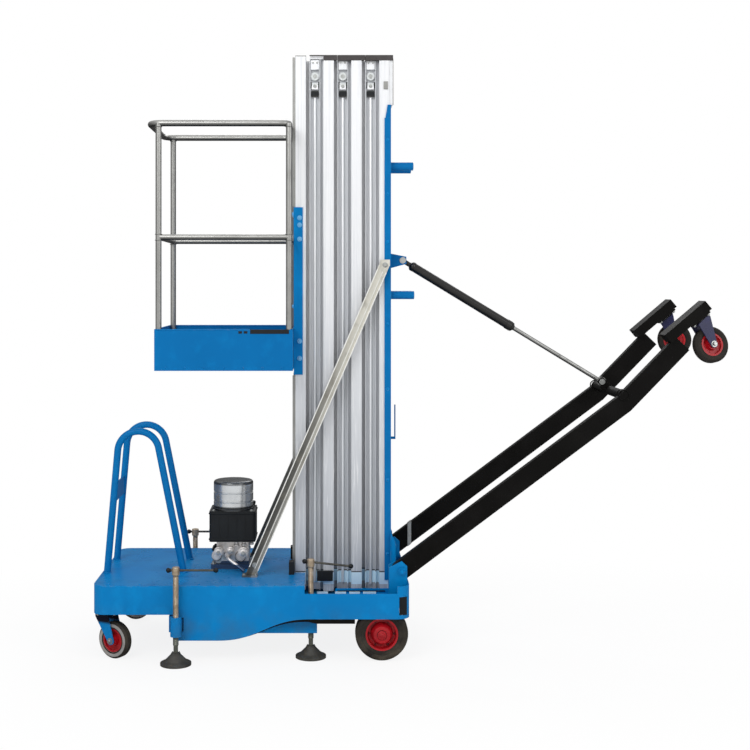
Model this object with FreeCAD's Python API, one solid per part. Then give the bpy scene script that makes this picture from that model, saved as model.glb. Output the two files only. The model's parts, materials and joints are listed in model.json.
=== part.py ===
import FreeCAD, Part
import math
import os
from FreeCAD import Vector

os.makedirs("parts", exist_ok=True)

# All sizes are in millimetres. X runs along the machine towards the loading arms, Y across it, Z up.
# X = 0 is the middle of the mast while the part is drawn; the export moves the middle of the
# whole length to the origin.
ORIGIN_X = 311.4

# Names of the two sides, and the sign of Y on each
SIDES = (("near", -1), ("far", 1))

# Clearances
RUNNING = 0.05
MOVING_GAP = 5.0
PLAY = 0.5
WHEEL_GAP = 8.0
THROUGH = 1.0

# Chassis, a band of folded sheet with rounded corners
BASE_X0, BASE_X1 = -1107.0, 292.0
BASE_HALF_WIDTH = 410.0
BASE_CORNER = 55.0
SHEET = 5.0
DECK_TOP = 336.0
DECK_THICK = 4.0
LOW_DECK_TOP = 233.0
LOW_DECK_THICK = 8.0
STEP_X = -172.0
LOW_EDGE = 300.0
BULKHEAD_X = -247.0
BULKHEAD_THICK = 4.0
BULKHEAD_SLOT_Y = (100.0, 180.0)
BULKHEAD_SLOT_Z = (240.0, 300.0)
MAST_NOTCH_HALF = 150.0
FRONT_MEMBER_X = (-1125.0, -985.0)
FRONT_MEMBER_THICK = 6.0
BAND_BOTTOM = 208.0
REAR_BOTTOM = 188.0
SKIRT_X0, SKIRT_X1, SKIRT_X2 = -742.0, -548.0, -157.0
SKIRT_BOTTOM = 94.0
SKIRT_PULL = 0.45
CORNER_WINDOW_Z = (205.0, 285.0)
CORNER_WINDOW_X = 245.0
CORNER_POST = 12.0

# Screw jacks: the front ones stand outside the chassis, the rear ones in its side notches
FRONT_JACK_X, JACK_OUT = -735.0, 36.0
REAR_JACK_X, REAR_JACK_IN = -145.0, 78.0
SCREW_R = 13.0
SCREW_NECK_R = 10.0
SCREW_NECK_TOP = 80.0
BAR_LENGTH = 208.0
BAR_R = 6.0
KNOB_R = 11.0
HEAD_R = 17.0
HEAD_BELOW, HEAD_ABOVE = 20.0, 14.0
NUT_R = 24.0
NUT_HEIGHT = 24.0
PAD_R = 68.0
PAD_RIM = 10.0
PAD_SOCKET_R = 20.0
PAD_SOCKET_DEPTH = 14.0
PAD_HEIGHT = 48.0
PAD_SLOPE_TOP = 38.0

# Front outriggers: a square beam pulled out of a sleeve under the chassis
BEAM_SIDE = 50.0
BEAM_WALL = 4.0
BEAM_Z = 165.0
BEAM_INNER_Y = 30.0
BEAM_END_PLATE = 12.0
BOSS_REACH = 42.0
GUSSET_HALF = 12.0
SLEEVE_WALL = 5.0
GUIDE_HALF, GUIDE_LENGTH = 18.0, 44.0
REAR_BOX_X0 = -418.0
REAR_BOX_BOTTOM, REAR_BOX_TOP = 114.0, 170.0
REAR_BOX_HALF = 28.0
HANGER_THICK = 8.0

# Wheels: centre X, centre height, distance in from the chassis side, tyre radius, tread width,
# rim radius, hub radius, bore radius, and how far the swivel line lies beyond the wheel in X
WHEEL_COLUMNS = ("x", "z", "inside", "tyre_r", "width", "rim_r", "hub_r", "bore_r", "trail")
REAR_WHEEL = dict(zip(WHEEL_COLUMNS, (169.0, 117.0, 46.0, 117.0, 72.0, 72.0, 30.0, 12.5, 0.0)))
FRONT_WHEEL = dict(zip(WHEEL_COLUMNS, (-1010.0, 81.0, 95.0, 81.0, 46.0, 52.0, 22.0, 8.0, -48.0)))
ARM_WHEEL = dict(FRONT_WHEEL, trail=38.0)
TYRE_SHOULDER = 10.0
RIM_FLANGE = 8.0
RIM_LIP = 4.0
DISC_THICK = 12.0

# Swivel casters
FORK_GAP = 7.0
FORK_THICK = 6.0
FORK_CROWN = 10.0
FORK_CROWN_GAP = 8.0
FORK_CROWN_HALF = 36.0
FORK_TIP_R = 17.0
FORK_PIN_OUT = 5.0
CASTER_PLATE = 104.0
CASTER_PLATE_THICK = 8.0
KINGPIN_R = 12.0
FRONT_SWIVEL_DEG = -30.0
ARM_SWIVEL_DEG = 16.0

# Rear axle
AXLE_BOX = 50.0
AXLE_BOX_GAP = 7.0
AXLE_HANGER_IN = 82.0
AXLE_HANGER_HALF = 40.0
AXLE_CAP_R = 20.0
AXLE_CAP_THICK = 6.0

# Push handles: two hoops of bent tube, joined by a plate between their front legs
HANDLE_R = 16.0
HANDLE_Y = 144.0
HANDLE_FOOT_X = (-1084.0, -733.0)
HANDLE_ARCH_R = 95.0
HANDLE_ARCH_CENTRE = (-941.0, 891.0)
HANDLE_PLATE_X = -1052.0
HANDLE_PLATE_Z = (660.0, 742.0)
HANDLE_PLATE_THICK = 6.0

# Mast: four nested extrusions, the first one fixed to the chassis on the arms' side
SECTION_PITCH = 129.0
SECTION_X = {number: (2.5 - number) * SECTION_PITCH for number in (1, 2, 3, 4)}
LAST_SECTION = len(SECTION_X)
SECTION_BOX = 48.0
SECTION_HALF_Y = 130.0
SECTION_WALL = 4.0
MAST_TOP = 2706.0
SECTION_RAISED = {1: 0.0, 2: 8.0, 3: 14.0, 4: 20.0}
CHANNEL_REACH = 64.0
CHANNEL_WEB = (86.0, 91.0)
CHANNEL_WALL = 4.0
CHANNEL_START = 14.0
CHANNEL_OUT = 112.0
LIP_Y = 62.0
LIP_THICK = 5.0
RAIL_STEM = (52.0, 57.0)
RAIL_HOOK_Y = 81.0
RAIL_THICK = 5.0
# The rails' hooks end one moving gap short of the lips that hold them
RAIL_REACH = SECTION_PITCH - SECTION_BOX - CHANNEL_REACH + LIP_THICK + MOVING_GAP + RAIL_THICK
CAP_THICK = 14.0
LAST_CAP_THICK = 10.0
PAD_DROP = (206.0, 66.0)
PAD_FOOT_HEIGHT = 100.0

# What sits in a groove's mouth: how far its low and high ends lie under the mast's top, and its width
GROOVE_COLUMNS = ("low", "high", "width")
HEAD_BLOCK = dict(zip(GROOVE_COLUMNS, (48.0, 4.0, 38.0)))
KEEPER = dict(zip(GROOVE_COLUMNS, (140.0, 110.0, 30.0)))
ANCHOR = dict(zip(GROOVE_COLUMNS, (176.0, 146.0, 34.0)))
FITTING_INSET = 2.0
PULLEY_DROP = 79.0
PULLEY_R = 19.0
PULLEY_ROOT_R = 14.0
PULLEY_BORE = 6.0
PULLEY_WIDTH = 14.0
PULLEY_FLANGE = 3.0
CHAIN_R = 6.5
CHAIN_FOOT = 40.0

# Lift cylinder between the fixed section and the second one
CYLINDER_R, CYLINDER_BORE = 27.0, 20.0
LIFT_ROD_R = 15.0
CYLINDER_DROP = 146.0
GLAND = 40.0
CYLINDER_FLOOR = 20.0
PISTON_HEIGHT = 20.0
LIFT_LUG_WIDTH, LIFT_LUG_HEIGHT = 60.0, 18.0

# Back plate, pegs and the bracket that holds struts and damper
BACK_TOP_DROP = 214.0
BACK_STEP_DROP = 275.0
BACK_NECK_HALF = 92.0
BACK_THICK = 6.0
BACK_WRAP = 30.0
BACK_WRAP_FOOT = 67.0
PEG_R = 19.0
PEG_Y = 80.0
PEGS = ((494.0, 111.0), (1093.0, 115.0))
BRACKET_THICK = 8.0
BRACKET_LOW, BRACKET_HIGH = 40.0, 34.0
BRACKET_NOSE = 17.0
STRAP_Z = (926.0, 1090.0)
STRAP_OUT, STRAP_SIDE, STRAP_Y = 32.0, 6.0, 60.0
STRAP_FOOT = 12.0

# Struts
STRUT_WIDTH, STRUT_DEPTH, STRUT_WALL = 46.0, 26.0, 4.0
STRUT_FOOT_X, STRUT_FOOT_Y = -423.0, 205.0
STRUT_HEAD_X, STRUT_HEAD_Z = 196.0, 1762.0
STRUT_SHOE = (70.0, 56.0, 8.0)
STRUT_HEAD_BLOCK = (44.0, 30.0)
STRUT_HEAD_WALL = 6.0
STRUT_SUNK = 4.0

# Power pack on the deck
PACK_X, PACK_Y = -512.0, 0.0
MOTOR_R, MOTOR_HEIGHT = 93.0, 134.0
MOTOR_GROOVE = 4.0
MOTOR_GROOVES = (39.0, 81.0)
MOTOR_SHOULDER = 12.0
TANK_LENGTH, TANK_WIDTH, TANK_HEIGHT = 214.0, 190.0, 142.0
TANK_CORNER = 14.0
TANK_BOTTOM = 466.0
MANIFOLD_LENGTH, MANIFOLD_WIDTH = 150.0, 120.0
PACK_FOOT = (200.0, 150.0, 22.0)
SOLENOID_COLUMNS = ("x", "z", "radius", "length")
SOLENOIDS = (
    dict(zip(SOLENOID_COLUMNS, (-62.0, 424.0, 19.0, 62.0))),
    dict(zip(SOLENOID_COLUMNS, (-8.0, 426.0, 15.0, 48.0))),
    dict(zip(SOLENOID_COLUMNS, (52.0, 420.0, 21.0, 58.0))),
)
PIPE_R = 8.0
PIPE_BEND = 22.0
PIPE_RUN = ((-20.0, -50.0, 60.0), (-20.0, -118.0, 60.0), (58.0, -150.0, 8.0))

# Platform
TRAY_X0, TRAY_LENGTH = -847.0, 621.0
TRAY_HALF = 310.0
TRAY_Z0, TRAY_HEIGHT = 1275.0, 184.0
TRAY_SHEET = 3.0
FLOOR_THICK = 6.0
MAT_INSET, MAT_THICK = 46.0, 3.0
RAIL_R, MID_RAIL_R, POST_R = 14.5, 12.5, 13.5
RING_OVER_FLOOR, MID_OVER_FLOOR = 1106.0, 594.0
RING_OVERHANG = 24.0
RING_CORNER = 62.0
RING_MAST_CORNER = 40.0
RAIL_TIE_HALF = 12.0
CARRIAGE_Z = (1246.0, 2019.0)
CARRIAGE_THICK = 8.0
CARRIAGE_FLANGE = 34.0
CARRIAGE_SIDE = 6.0

# Loading arms
ARM_PIVOT = (262.0, 380.0)
ARM_BEND = (1262.0, 1128.0)
ARM_END = (1522.0, 1397.0)
ARM_DEPTH = 84.0
ARM_WIDTH = 40.0
ARM_Y = 285.0
TIP_START = (1434.5, 1436.5)
TIP_ANGLE = 40.3
TIP_LENGTH = 236.0
TIP_THICK = 46.0
TIP_WIDTH = 100.0
TIP_CASTER_STATION = 170.0
CROSSBAR = (1258.0, 1165.0)
CROSSBAR_R = 22.0
PIVOT_R = 12.0
PIVOT_OUT = 6.0
EAR_THICK = 8.0
EAR_GAP = 6.0
EAR_BACK, EAR_FRONT = 57.0, 24.0
EAR_TOP, EAR_SHOULDER = 44.0, 16.0

# Mast foot: bars beside the sections and upright gussets at the fixed one
FOOT_BAR_X0, FOOT_BAR_X1 = -33.0, 250.0
FOOT_BAR_GAP = 7.0
FOOT_BAR_THICK = 10.0
FOOT_BAR_TOP = 262.0
GUSSET_X = (222.0, 244.0)
GUSSET_TOP = (522.0, 470.0)
TIE_THICK = 8.0
TIE_TOP = 330.0

# Damper between the mast bracket and the crossbar
DAMPER_PIN = (285.0, 1776.0)
DAMPER_EYE = (1222.0, 1205.0)
DAMPER_R, DAMPER_BORE = 21.0, 17.0
DAMPER_NECK_R, DAMPER_NECK = 11.0, 50.0
DAMPER_LENGTH = 606.0
DAMPER_FLOOR, DAMPER_GLAND = 14.0, 24.0
DAMPER_ROD_R = 10.0
DAMPER_ROD_INSIDE = 96.0
DAMPER_PIN_R = 8.0
EYE_R = 18.0
OPEN_EYE_R, OPEN_EYE_BORE = 22.0, 16.0
EYE_WIDTH = 24.0
LUG_GAP, LUG_THICK = 3.0, 8.0


def box(x0, x1, y0, y1, z0, z1):
    return Part.makeBox(x1 - x0, y1 - y0, z1 - z0, Vector(x0, y0, z0))


def span(side, low, high):
    """The Y range low..high on one side of the middle plane, low end first."""
    return (low, high) if side > 0 else (-high, -low)


def side_box(side, x0, x1, low, high, z0, z1):
    y0, y1 = span(side, low, high)
    return box(x0, x1, y0, y1, z0, z1)


def upright(x, y, z0, z1, radius):
    return Part.makeCylinder(radius, z1 - z0, Vector(x, y, z0), Vector(0, 0, 1))


def cross(x, z, y0, y1, radius):
    """A round bar along Y."""
    return Part.makeCylinder(radius, y1 - y0, Vector(x, y0, z), Vector(0, 1, 0))


def rod(start, end, radius):
    start, end = Vector(*start), Vector(*end)
    return Part.makeCylinder(radius, (end - start).Length, start, end - start)


def plate_xz(points, y0, y1):
    """A flat plate with an outline in X and Z."""
    corners = [Vector(x, y0, z) for x, z in points]
    face = Part.Face(Part.makePolygon(corners + corners[:1]))
    return face.extrude(Vector(0, y1 - y0, 0))


def plate_xy(points, z0, z1):
    corners = [Vector(x, y, z0) for x, y in points]
    face = Part.Face(Part.makePolygon(corners + corners[:1]))
    return face.extrude(Vector(0, 0, z1 - z0))


def turning(x, y, profile):
    """A piece turned about an upright line through x and y, from radius and height pairs."""
    corners = [Vector(x + r, y, z) for r, z in profile]
    face = Part.Face(Part.makePolygon(corners + corners[:1]))
    return face.revolve(Vector(x, y, 0), Vector(0, 0, 1), 360)


def wheel_turning(x, middle, z, profile):
    """A piece turned about a line along Y, from radius and offset pairs."""
    corners = [Vector(x + r, middle + w, z) for r, w in profile]
    face = Part.Face(Part.makePolygon(corners + corners[:1]))
    return face.revolve(Vector(x, middle, z), Vector(0, 1, 0), 360)


def joined(solids):
    first, rest = solids[0], solids[1:]
    return first.fuse(rest).removeSplitter() if rest else first


def turned(shape, angle, centre, axis):
    copy = shape.copy()
    copy.rotate(Vector(*centre), Vector(*axis), angle)
    return copy


def export(name, shape):
    moved = shape.copy()
    moved.translate(Vector(-ORIGIN_X, 0, 0))
    moved.exportStep("parts/%s.step" % name)


def tube_path(points, radius, bends):
    """A round bar through the points, with the given bend radius at each inner point."""
    points = [Vector(*p) for p in points]
    edges = []
    start = points[0]
    for i in range(1, len(points) - 1):
        corner = points[i]
        to_last = (points[i - 1] - corner).normalize()
        to_next = (points[i + 1] - corner).normalize()
        half = to_last.getAngle(to_next) / 2
        reach = bends[i - 1] / math.tan(half)
        first = corner + to_last * reach
        last = corner + to_next * reach
        middle_way = (to_last + to_next).normalize()
        centre = corner + middle_way * (bends[i - 1] / math.sin(half))
        middle = centre - middle_way * bends[i - 1]
        edges.append(Part.makeLine(start, first))
        edges.append(Part.Arc(first, middle, last).toShape())
        start = last
    edges.append(Part.makeLine(start, points[-1]))
    path = Part.Wire(edges)
    way = path.Edges[0].tangentAt(path.Edges[0].FirstParameter)
    profile = Part.Wire(Part.makeCircle(radius, points[0], way))
    return path.makePipeShell([profile], True, False)


def channel_bar(start, end, side):
    """A folded channel between two points, open towards the outside of the machine."""
    start, way = Vector(*start), (Vector(*end) - Vector(*start)).normalize()
    out = (Vector(0, side, 0) - way * (side * way.y)).normalize()
    across = way.cross(out)
    half, inner = STRUT_WIDTH / 2, STRUT_WIDTH / 2 - STRUT_WALL
    profile = [(-half, 0), (half, 0), (half, STRUT_DEPTH), (inner, STRUT_DEPTH), (inner, STRUT_WALL),
               (-inner, STRUT_WALL), (-inner, STRUT_DEPTH), (-half, STRUT_DEPTH)]
    corners = [start + across * u + out * v for u, v in profile]
    face = Part.Face(Part.makePolygon(corners + corners[:1]))
    return face.extrude(Vector(*end) - start)


def offset_path(points, distance):
    """The points of a bent bar's edge, the given distance to the left of its middle line."""
    shifted = []
    for i, (x, z) in enumerate(points):
        ways = []
        for j in (i - 1, i):
            if 0 <= j < len(points) - 1:
                way = Vector(points[j + 1][0] - points[j][0], 0, points[j + 1][1] - points[j][1])
                ways.append(way.normalize())
        mean = ways[0] if len(ways) == 1 else (ways[0] + ways[1]).normalize()
        stretch = distance / math.cos(mean.getAngle(ways[0])) if len(ways) == 2 else distance
        shifted.append((x - mean.z * stretch, z + mean.x * stretch))
    return shifted


def chassis_block(inset, z0, z1):
    """The chassis outline seen from above, as a block with rounded corners."""
    block = box(BASE_X0 + inset, BASE_X1 - inset, -BASE_HALF_WIDTH + inset, BASE_HALF_WIDTH - inset, z0, z1)
    corners = [e for e in block.Edges if abs(e.tangentAt(e.FirstParameter).z) > 0.99]
    return block.makeFillet(BASE_CORNER - inset, corners)


def skirt(side):
    """The deep part of a side plate, with its S-curved lower edge."""
    y0, y1 = span(side, BASE_HALF_WIDTH - SHEET, BASE_HALF_WIDTH)
    curve = Part.BezierCurve()
    pull = (SKIRT_X2 - SKIRT_X1) * SKIRT_PULL
    curve.setPoles([Vector(SKIRT_X1, y0, SKIRT_BOTTOM), Vector(SKIRT_X1 + pull, y0, SKIRT_BOTTOM),
                    Vector(SKIRT_X2 - pull, y0, REAR_BOTTOM), Vector(SKIRT_X2, y0, REAR_BOTTOM)])
    x_end = BASE_X1 - BASE_CORNER
    top = BAND_BOTTOM + SHEET
    corners = [Vector(SKIRT_X2, y0, REAR_BOTTOM), Vector(x_end, y0, REAR_BOTTOM), Vector(x_end, y0, top),
               Vector(SKIRT_X0, y0, top), Vector(SKIRT_X0, y0, SKIRT_BOTTOM),
               Vector(SKIRT_X1, y0, SKIRT_BOTTOM)]
    edges = [curve.toShape()]
    for first, last in zip(corners, corners[1:]):
        edges.append(Part.makeLine(first, last))
    return Part.Face(Part.Wire(edges)).extrude(Vector(0, y1 - y0, 0))


def wheel_y(wheel):
    return BASE_HALF_WIDTH - wheel["inside"]


def wheel_parts(wheel, y):
    """Tyre and hub of one wheel, with the axle along Y."""
    x, z = wheel["x"], wheel["z"]
    half = wheel["width"] / 2
    rim, outer, hub_r, bore = wheel["rim_r"], wheel["tyre_r"], wheel["hub_r"], wheel["bore_r"] + RUNNING
    shoulder = TYRE_SHOULDER
    tyre = wheel_turning(x, y, z, [
        (rim, -half + RIM_LIP), (rim, half - RIM_LIP), (outer - 2 * shoulder, half),
        (outer - shoulder, half), (outer, half - shoulder), (outer, -half + shoulder),
        (outer - shoulder, -half), (outer - 2 * shoulder, -half)])
    dish = DISC_THICK / 2
    flange = rim - RIM_FLANGE
    hub = wheel_turning(x, y, z, [
        (bore, -half), (hub_r, -half), (hub_r, -dish), (flange, -dish), (flange, -half + RIM_LIP),
        (rim, -half + RIM_LIP), (rim, half - RIM_LIP), (flange, half - RIM_LIP), (flange, dish),
        (hub_r, dish), (hub_r, half), (bore, half)])
    return tyre, hub


def caster_fork(wheel, y, top):
    """Fork, kingpin and wheel pin of a swivel caster; its wheel trails behind the swivel line."""
    x, z = wheel["x"], wheel["z"]
    axis_x = x + wheel["trail"]
    half = wheel["width"] / 2 + FORK_GAP
    crown_top = top - CASTER_PLATE_THICK - FORK_CROWN_GAP
    crown_bottom = crown_top - FORK_CROWN
    left, right = axis_x - FORK_CROWN_HALF, axis_x + FORK_CROWN_HALF
    leg = [(x - FORK_TIP_R, z), (x + FORK_TIP_R, z), (right, crown_bottom), (right, crown_top),
           (left, crown_top), (left, crown_bottom)]
    pieces = [box(left, right, y - half - FORK_THICK, y + half + FORK_THICK, crown_bottom, crown_top)]
    for low in (-half - FORK_THICK, half):
        pieces.append(plate_xz(leg, y + low, y + low + FORK_THICK))
        pieces.append(cross(x, z, y + low, y + low + FORK_THICK, FORK_TIP_R))
    pieces.append(upright(axis_x, y, crown_top, top - CASTER_PLATE_THICK - PLAY, KINGPIN_R))
    reach = half + FORK_THICK + FORK_PIN_OUT
    pieces.append(cross(x, z, y - reach, y + reach, wheel["bore_r"]))
    return joined(pieces)


def section_bottom(number):
    return LOW_DECK_TOP + SECTION_RAISED[number]


def section_profile(number, z0, z1):
    """One mast extrusion: a hollow box, hook channels towards the next section, hooked rails behind."""
    left = SECTION_X[number] - SECTION_BOX / 2
    right = left + SECTION_BOX
    half = []
    if number < LAST_SECTION:
        reach, near = left - CHANNEL_REACH, left - CHANNEL_START
        half += [(left, CHANNEL_WEB[0]), (reach + LIP_THICK, CHANNEL_WEB[0]), (reach + LIP_THICK, LIP_Y),
                 (reach, LIP_Y), (reach, CHANNEL_OUT), (reach + CHANNEL_WALL, CHANNEL_OUT),
                 (reach + CHANNEL_WALL, CHANNEL_WEB[1]), (near - CHANNEL_WALL, CHANNEL_WEB[1]),
                 (near - CHANNEL_WALL, CHANNEL_OUT), (near, CHANNEL_OUT), (near, CHANNEL_WEB[1]),
                 (left, CHANNEL_WEB[1])]
    half += [(left, SECTION_HALF_Y), (right, SECTION_HALF_Y)]
    if number > 1:
        hook = right + RAIL_REACH
        half += [(right, RAIL_STEM[1]), (hook - RAIL_THICK, RAIL_STEM[1]), (hook - RAIL_THICK, RAIL_HOOK_Y),
                 (hook, RAIL_HOOK_Y), (hook, RAIL_STEM[0]), (right, RAIL_STEM[0])]
    outline = half + [(x, -y) for x, y in reversed(half)]
    inside = SECTION_HALF_Y - SECTION_WALL
    hollow = box(left + SECTION_WALL, right - SECTION_WALL, -inside, inside, z0, z1)
    return plate_xy(outline, z0, z1).cut(hollow)


def section_cap(number, z0, z1):
    left = SECTION_X[number] - SECTION_BOX / 2
    outline = [(left, SECTION_HALF_Y), (left + SECTION_BOX, SECTION_HALF_Y)]
    if number < LAST_SECTION:
        reach = left - CHANNEL_REACH
        outline = [(left, CHANNEL_WEB[1]), (reach, CHANNEL_WEB[1]), (reach, CHANNEL_OUT),
                   (left, CHANNEL_OUT)] + outline
    return plate_xy(outline + [(x, -y) for x, y in reversed(outline)], z0, z1)


def sheave(x, y0, y1):
    """A chain pulley turned with a grooved rim."""
    flange = PULLEY_FLANGE
    z = MAST_TOP - PULLEY_DROP
    return wheel_turning(x, 0, z, [
        (PULLEY_BORE, y0), (PULLEY_R, y0), (PULLEY_R, y0 + flange), (PULLEY_ROOT_R, y0 + 2 * flange),
        (PULLEY_ROOT_R, y1 - 2 * flange), (PULLEY_R, y1 - flange), (PULLEY_R, y1), (PULLEY_BORE, y1)])


def section_fittings(number):
    """Blocks, pulley and chain run in both grooves of a section, and the guide pads on its lips."""
    left = SECTION_X[number] - SECTION_BOX / 2
    middle = left - (CHANNEL_START + CHANNEL_REACH) / 2
    low, high = CHANNEL_WEB[1], CHANNEL_OUT - FITTING_INSET
    lip = left - CHANNEL_REACH + LIP_THICK
    solids = []
    for _, side in SIDES:
        for block in (HEAD_BLOCK, KEEPER, ANCHOR):
            half = block["width"] / 2
            solids.append(side_box(side, middle - half, middle + half, low, high,
                                   MAST_TOP - block["low"], MAST_TOP - block["high"]))
        solids.append(sheave(middle, *span(side, low, low + PULLEY_WIDTH)))
        solids.append(upright(middle, side * (low + CHAIN_R), section_bottom(number) + CHAIN_FOOT,
                              MAST_TOP - ANCHOR["low"], CHAIN_R))
        solids.append(side_box(side, lip, lip + MOVING_GAP - PLAY, LIP_Y, RAIL_HOOK_Y,
                               MAST_TOP - PAD_DROP[0], MAST_TOP - PAD_DROP[1]))
    return solids


def foot_pads(number):
    """Guide pads on the rails of a moving section, at its foot."""
    hook = SECTION_X[number] + SECTION_BOX / 2 + RAIL_REACH - RAIL_THICK
    z0 = section_bottom(number)
    return [side_box(side, hook - MOVING_GAP + PLAY, hook, LIP_Y, RAIL_HOOK_Y, z0, z0 + PAD_FOOT_HEIGHT)
            for _, side in SIDES]


# Chassis band with its skirts
band_top = DECK_TOP - DECK_THICK
band = chassis_block(0, BAND_BOTTOM, band_top).cut(chassis_block(SHEET, BAND_BOTTOM, band_top))
tail_x = BASE_X1 - BASE_CORNER
tail = chassis_block(0, REAR_BOTTOM, BAND_BOTTOM).cut(chassis_block(SHEET, REAR_BOTTOM, BAND_BOTTOM))
tail = tail.common(box(tail_x, BASE_X1 + THROUGH, -BASE_HALF_WIDTH, BASE_HALF_WIDTH,
                       REAR_BOTTOM, BAND_BOTTOM))
frame = joined([band, tail] + [skirt(side) for _, side in SIDES])
frame = frame.cut(box(STEP_X, tail_x, -BASE_HALF_WIDTH, BASE_HALF_WIDTH, LOW_EDGE, DECK_TOP))
beam_gap = BEAM_SIDE / 2 + MOVING_GAP
for _, side in SIDES:
    frame = frame.cut(side_box(side, CORNER_WINDOW_X, BASE_X1 - CORNER_POST, BASE_HALF_WIDTH - BASE_CORNER,
                               BASE_HALF_WIDTH + THROUGH, *CORNER_WINDOW_Z))
    frame = frame.cut(side_box(side, FRONT_JACK_X - beam_gap, FRONT_JACK_X + beam_gap,
                               BASE_HALF_WIDTH - 2 * SHEET, BASE_HALF_WIDTH + THROUGH,
                               BEAM_Z - beam_gap, BEAM_Z + beam_gap))
export("base_frame", frame)

# Floor of the chassis: low deck under the mast, bulkhead at the step, cross member with caster plates
inner_half = BASE_HALF_WIDTH - SHEET
front_jack_y = BASE_HALF_WIDTH + JACK_OUT
rear_jack_y = BASE_HALF_WIDTH - REAR_JACK_IN
low_deck_bottom = LOW_DECK_TOP - LOW_DECK_THICK
low_deck = box(BULKHEAD_X, tail_x, -inner_half, inner_half, low_deck_bottom, LOW_DECK_TOP)
tail_floor = box(tail_x, BASE_X1 - SHEET, -inner_half + BASE_CORNER, inner_half - BASE_CORNER,
                 low_deck_bottom, LOW_DECK_TOP)
bulkhead = box(BULKHEAD_X, BULKHEAD_X + BULKHEAD_THICK, -inner_half, inner_half, LOW_DECK_TOP, band_top)
front_member = box(max(FRONT_MEMBER_X[0], BASE_X0 + BASE_CORNER), FRONT_MEMBER_X[1], -inner_half, inner_half,
                   BAND_BOTTOM, BAND_BOTTOM + FRONT_MEMBER_THICK)
floor = joined([low_deck, tail_floor, bulkhead])
for _, side in SIDES:
    floor = floor.cut(side_box(side, BULKHEAD_X - THROUGH, BULKHEAD_X + BULKHEAD_THICK + THROUGH,
                               *BULKHEAD_SLOT_Y, *BULKHEAD_SLOT_Z))
    floor = floor.cut(upright(REAR_JACK_X, side * rear_jack_y, low_deck_bottom - THROUGH,
                              LOW_DECK_TOP + THROUGH, NUT_R + PLAY))
    y0, y1 = span(side, wheel_y(REAR_WHEEL) - REAR_WHEEL["width"] / 2 - WHEEL_GAP, inner_half)
    floor = floor.cut(cross(REAR_WHEEL["x"], REAR_WHEEL["z"], y0, y1, REAR_WHEEL["tyre_r"] + WHEEL_GAP))
front = [front_member]
front_wheel_top = BAND_BOTTOM
for _, side in SIDES:
    axis_x, y = FRONT_WHEEL["x"] + FRONT_WHEEL["trail"], side * wheel_y(FRONT_WHEEL)
    plate_x0 = max(axis_x - CASTER_PLATE / 2, BASE_X0 + SHEET)
    front.append(box(plate_x0, axis_x + CASTER_PLATE / 2, y - CASTER_PLATE / 2, y + CASTER_PLATE / 2,
                     front_wheel_top - CASTER_PLATE_THICK, front_wheel_top))
export("base_floor", Part.makeCompound([floor, joined(front)]))

# Deck sheet, with a notch round the mast
deck = chassis_block(0, band_top, DECK_TOP)
deck = deck.cut(box(STEP_X, BASE_X1 + THROUGH, -BASE_HALF_WIDTH - THROUGH, BASE_HALF_WIDTH + THROUGH,
                    band_top - THROUGH, DECK_TOP + THROUGH))
deck = deck.cut(box(BULKHEAD_X + BULKHEAD_THICK, STEP_X + THROUGH, -MAST_NOTCH_HALF, MAST_NOTCH_HALF,
                    band_top - THROUGH, DECK_TOP + THROUGH))
export("base_deck", deck)

# Sleeve of the front outriggers, with guide pads in its mouths, and boxes of the rear jacks
sleeve_half = beam_gap + SLEEVE_WALL
sleeve_y = inner_half - PLAY
sleeve = box(FRONT_JACK_X - sleeve_half, FRONT_JACK_X + sleeve_half, -sleeve_y, sleeve_y,
             BEAM_Z - sleeve_half, BEAM_Z + sleeve_half)
sleeve = sleeve.cut(box(FRONT_JACK_X - beam_gap, FRONT_JACK_X + beam_gap, -sleeve_y, sleeve_y,
                        BEAM_Z - beam_gap, BEAM_Z + beam_gap))
guides = []
for _, side in SIDES:
    for z0, z1 in ((-beam_gap, -BEAM_SIDE / 2 - PLAY), (BEAM_SIDE / 2 + PLAY, beam_gap)):
        guides.append(side_box(side, FRONT_JACK_X - GUIDE_HALF, FRONT_JACK_X + GUIDE_HALF,
                               sleeve_y - GUIDE_LENGTH, sleeve_y, BEAM_Z + z0, BEAM_Z + z1))
housing_solids = [joined([sleeve] + guides)]
for _, side in SIDES:
    low, high = rear_jack_y - REAR_BOX_HALF, rear_jack_y + REAR_BOX_HALF
    rear_box = side_box(side, REAR_BOX_X0, REAR_JACK_X + REAR_BOX_HALF, low, high,
                        REAR_BOX_BOTTOM, REAR_BOX_TOP)
    hanger = side_box(side, REAR_BOX_X0, REAR_BOX_X0 + HANGER_THICK, low, high, REAR_BOX_TOP, band_top)
    nut = upright(REAR_JACK_X, side * rear_jack_y, REAR_BOX_BOTTOM, LOW_DECK_TOP + NUT_HEIGHT, NUT_R)
    hole = upright(REAR_JACK_X, side * rear_jack_y, 0, DECK_TOP, SCREW_R + PLAY)
    housing_solids.append(joined([rear_box, hanger, nut]).cut(hole))
export("jack_housings", Part.makeCompound(housing_solids))

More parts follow.
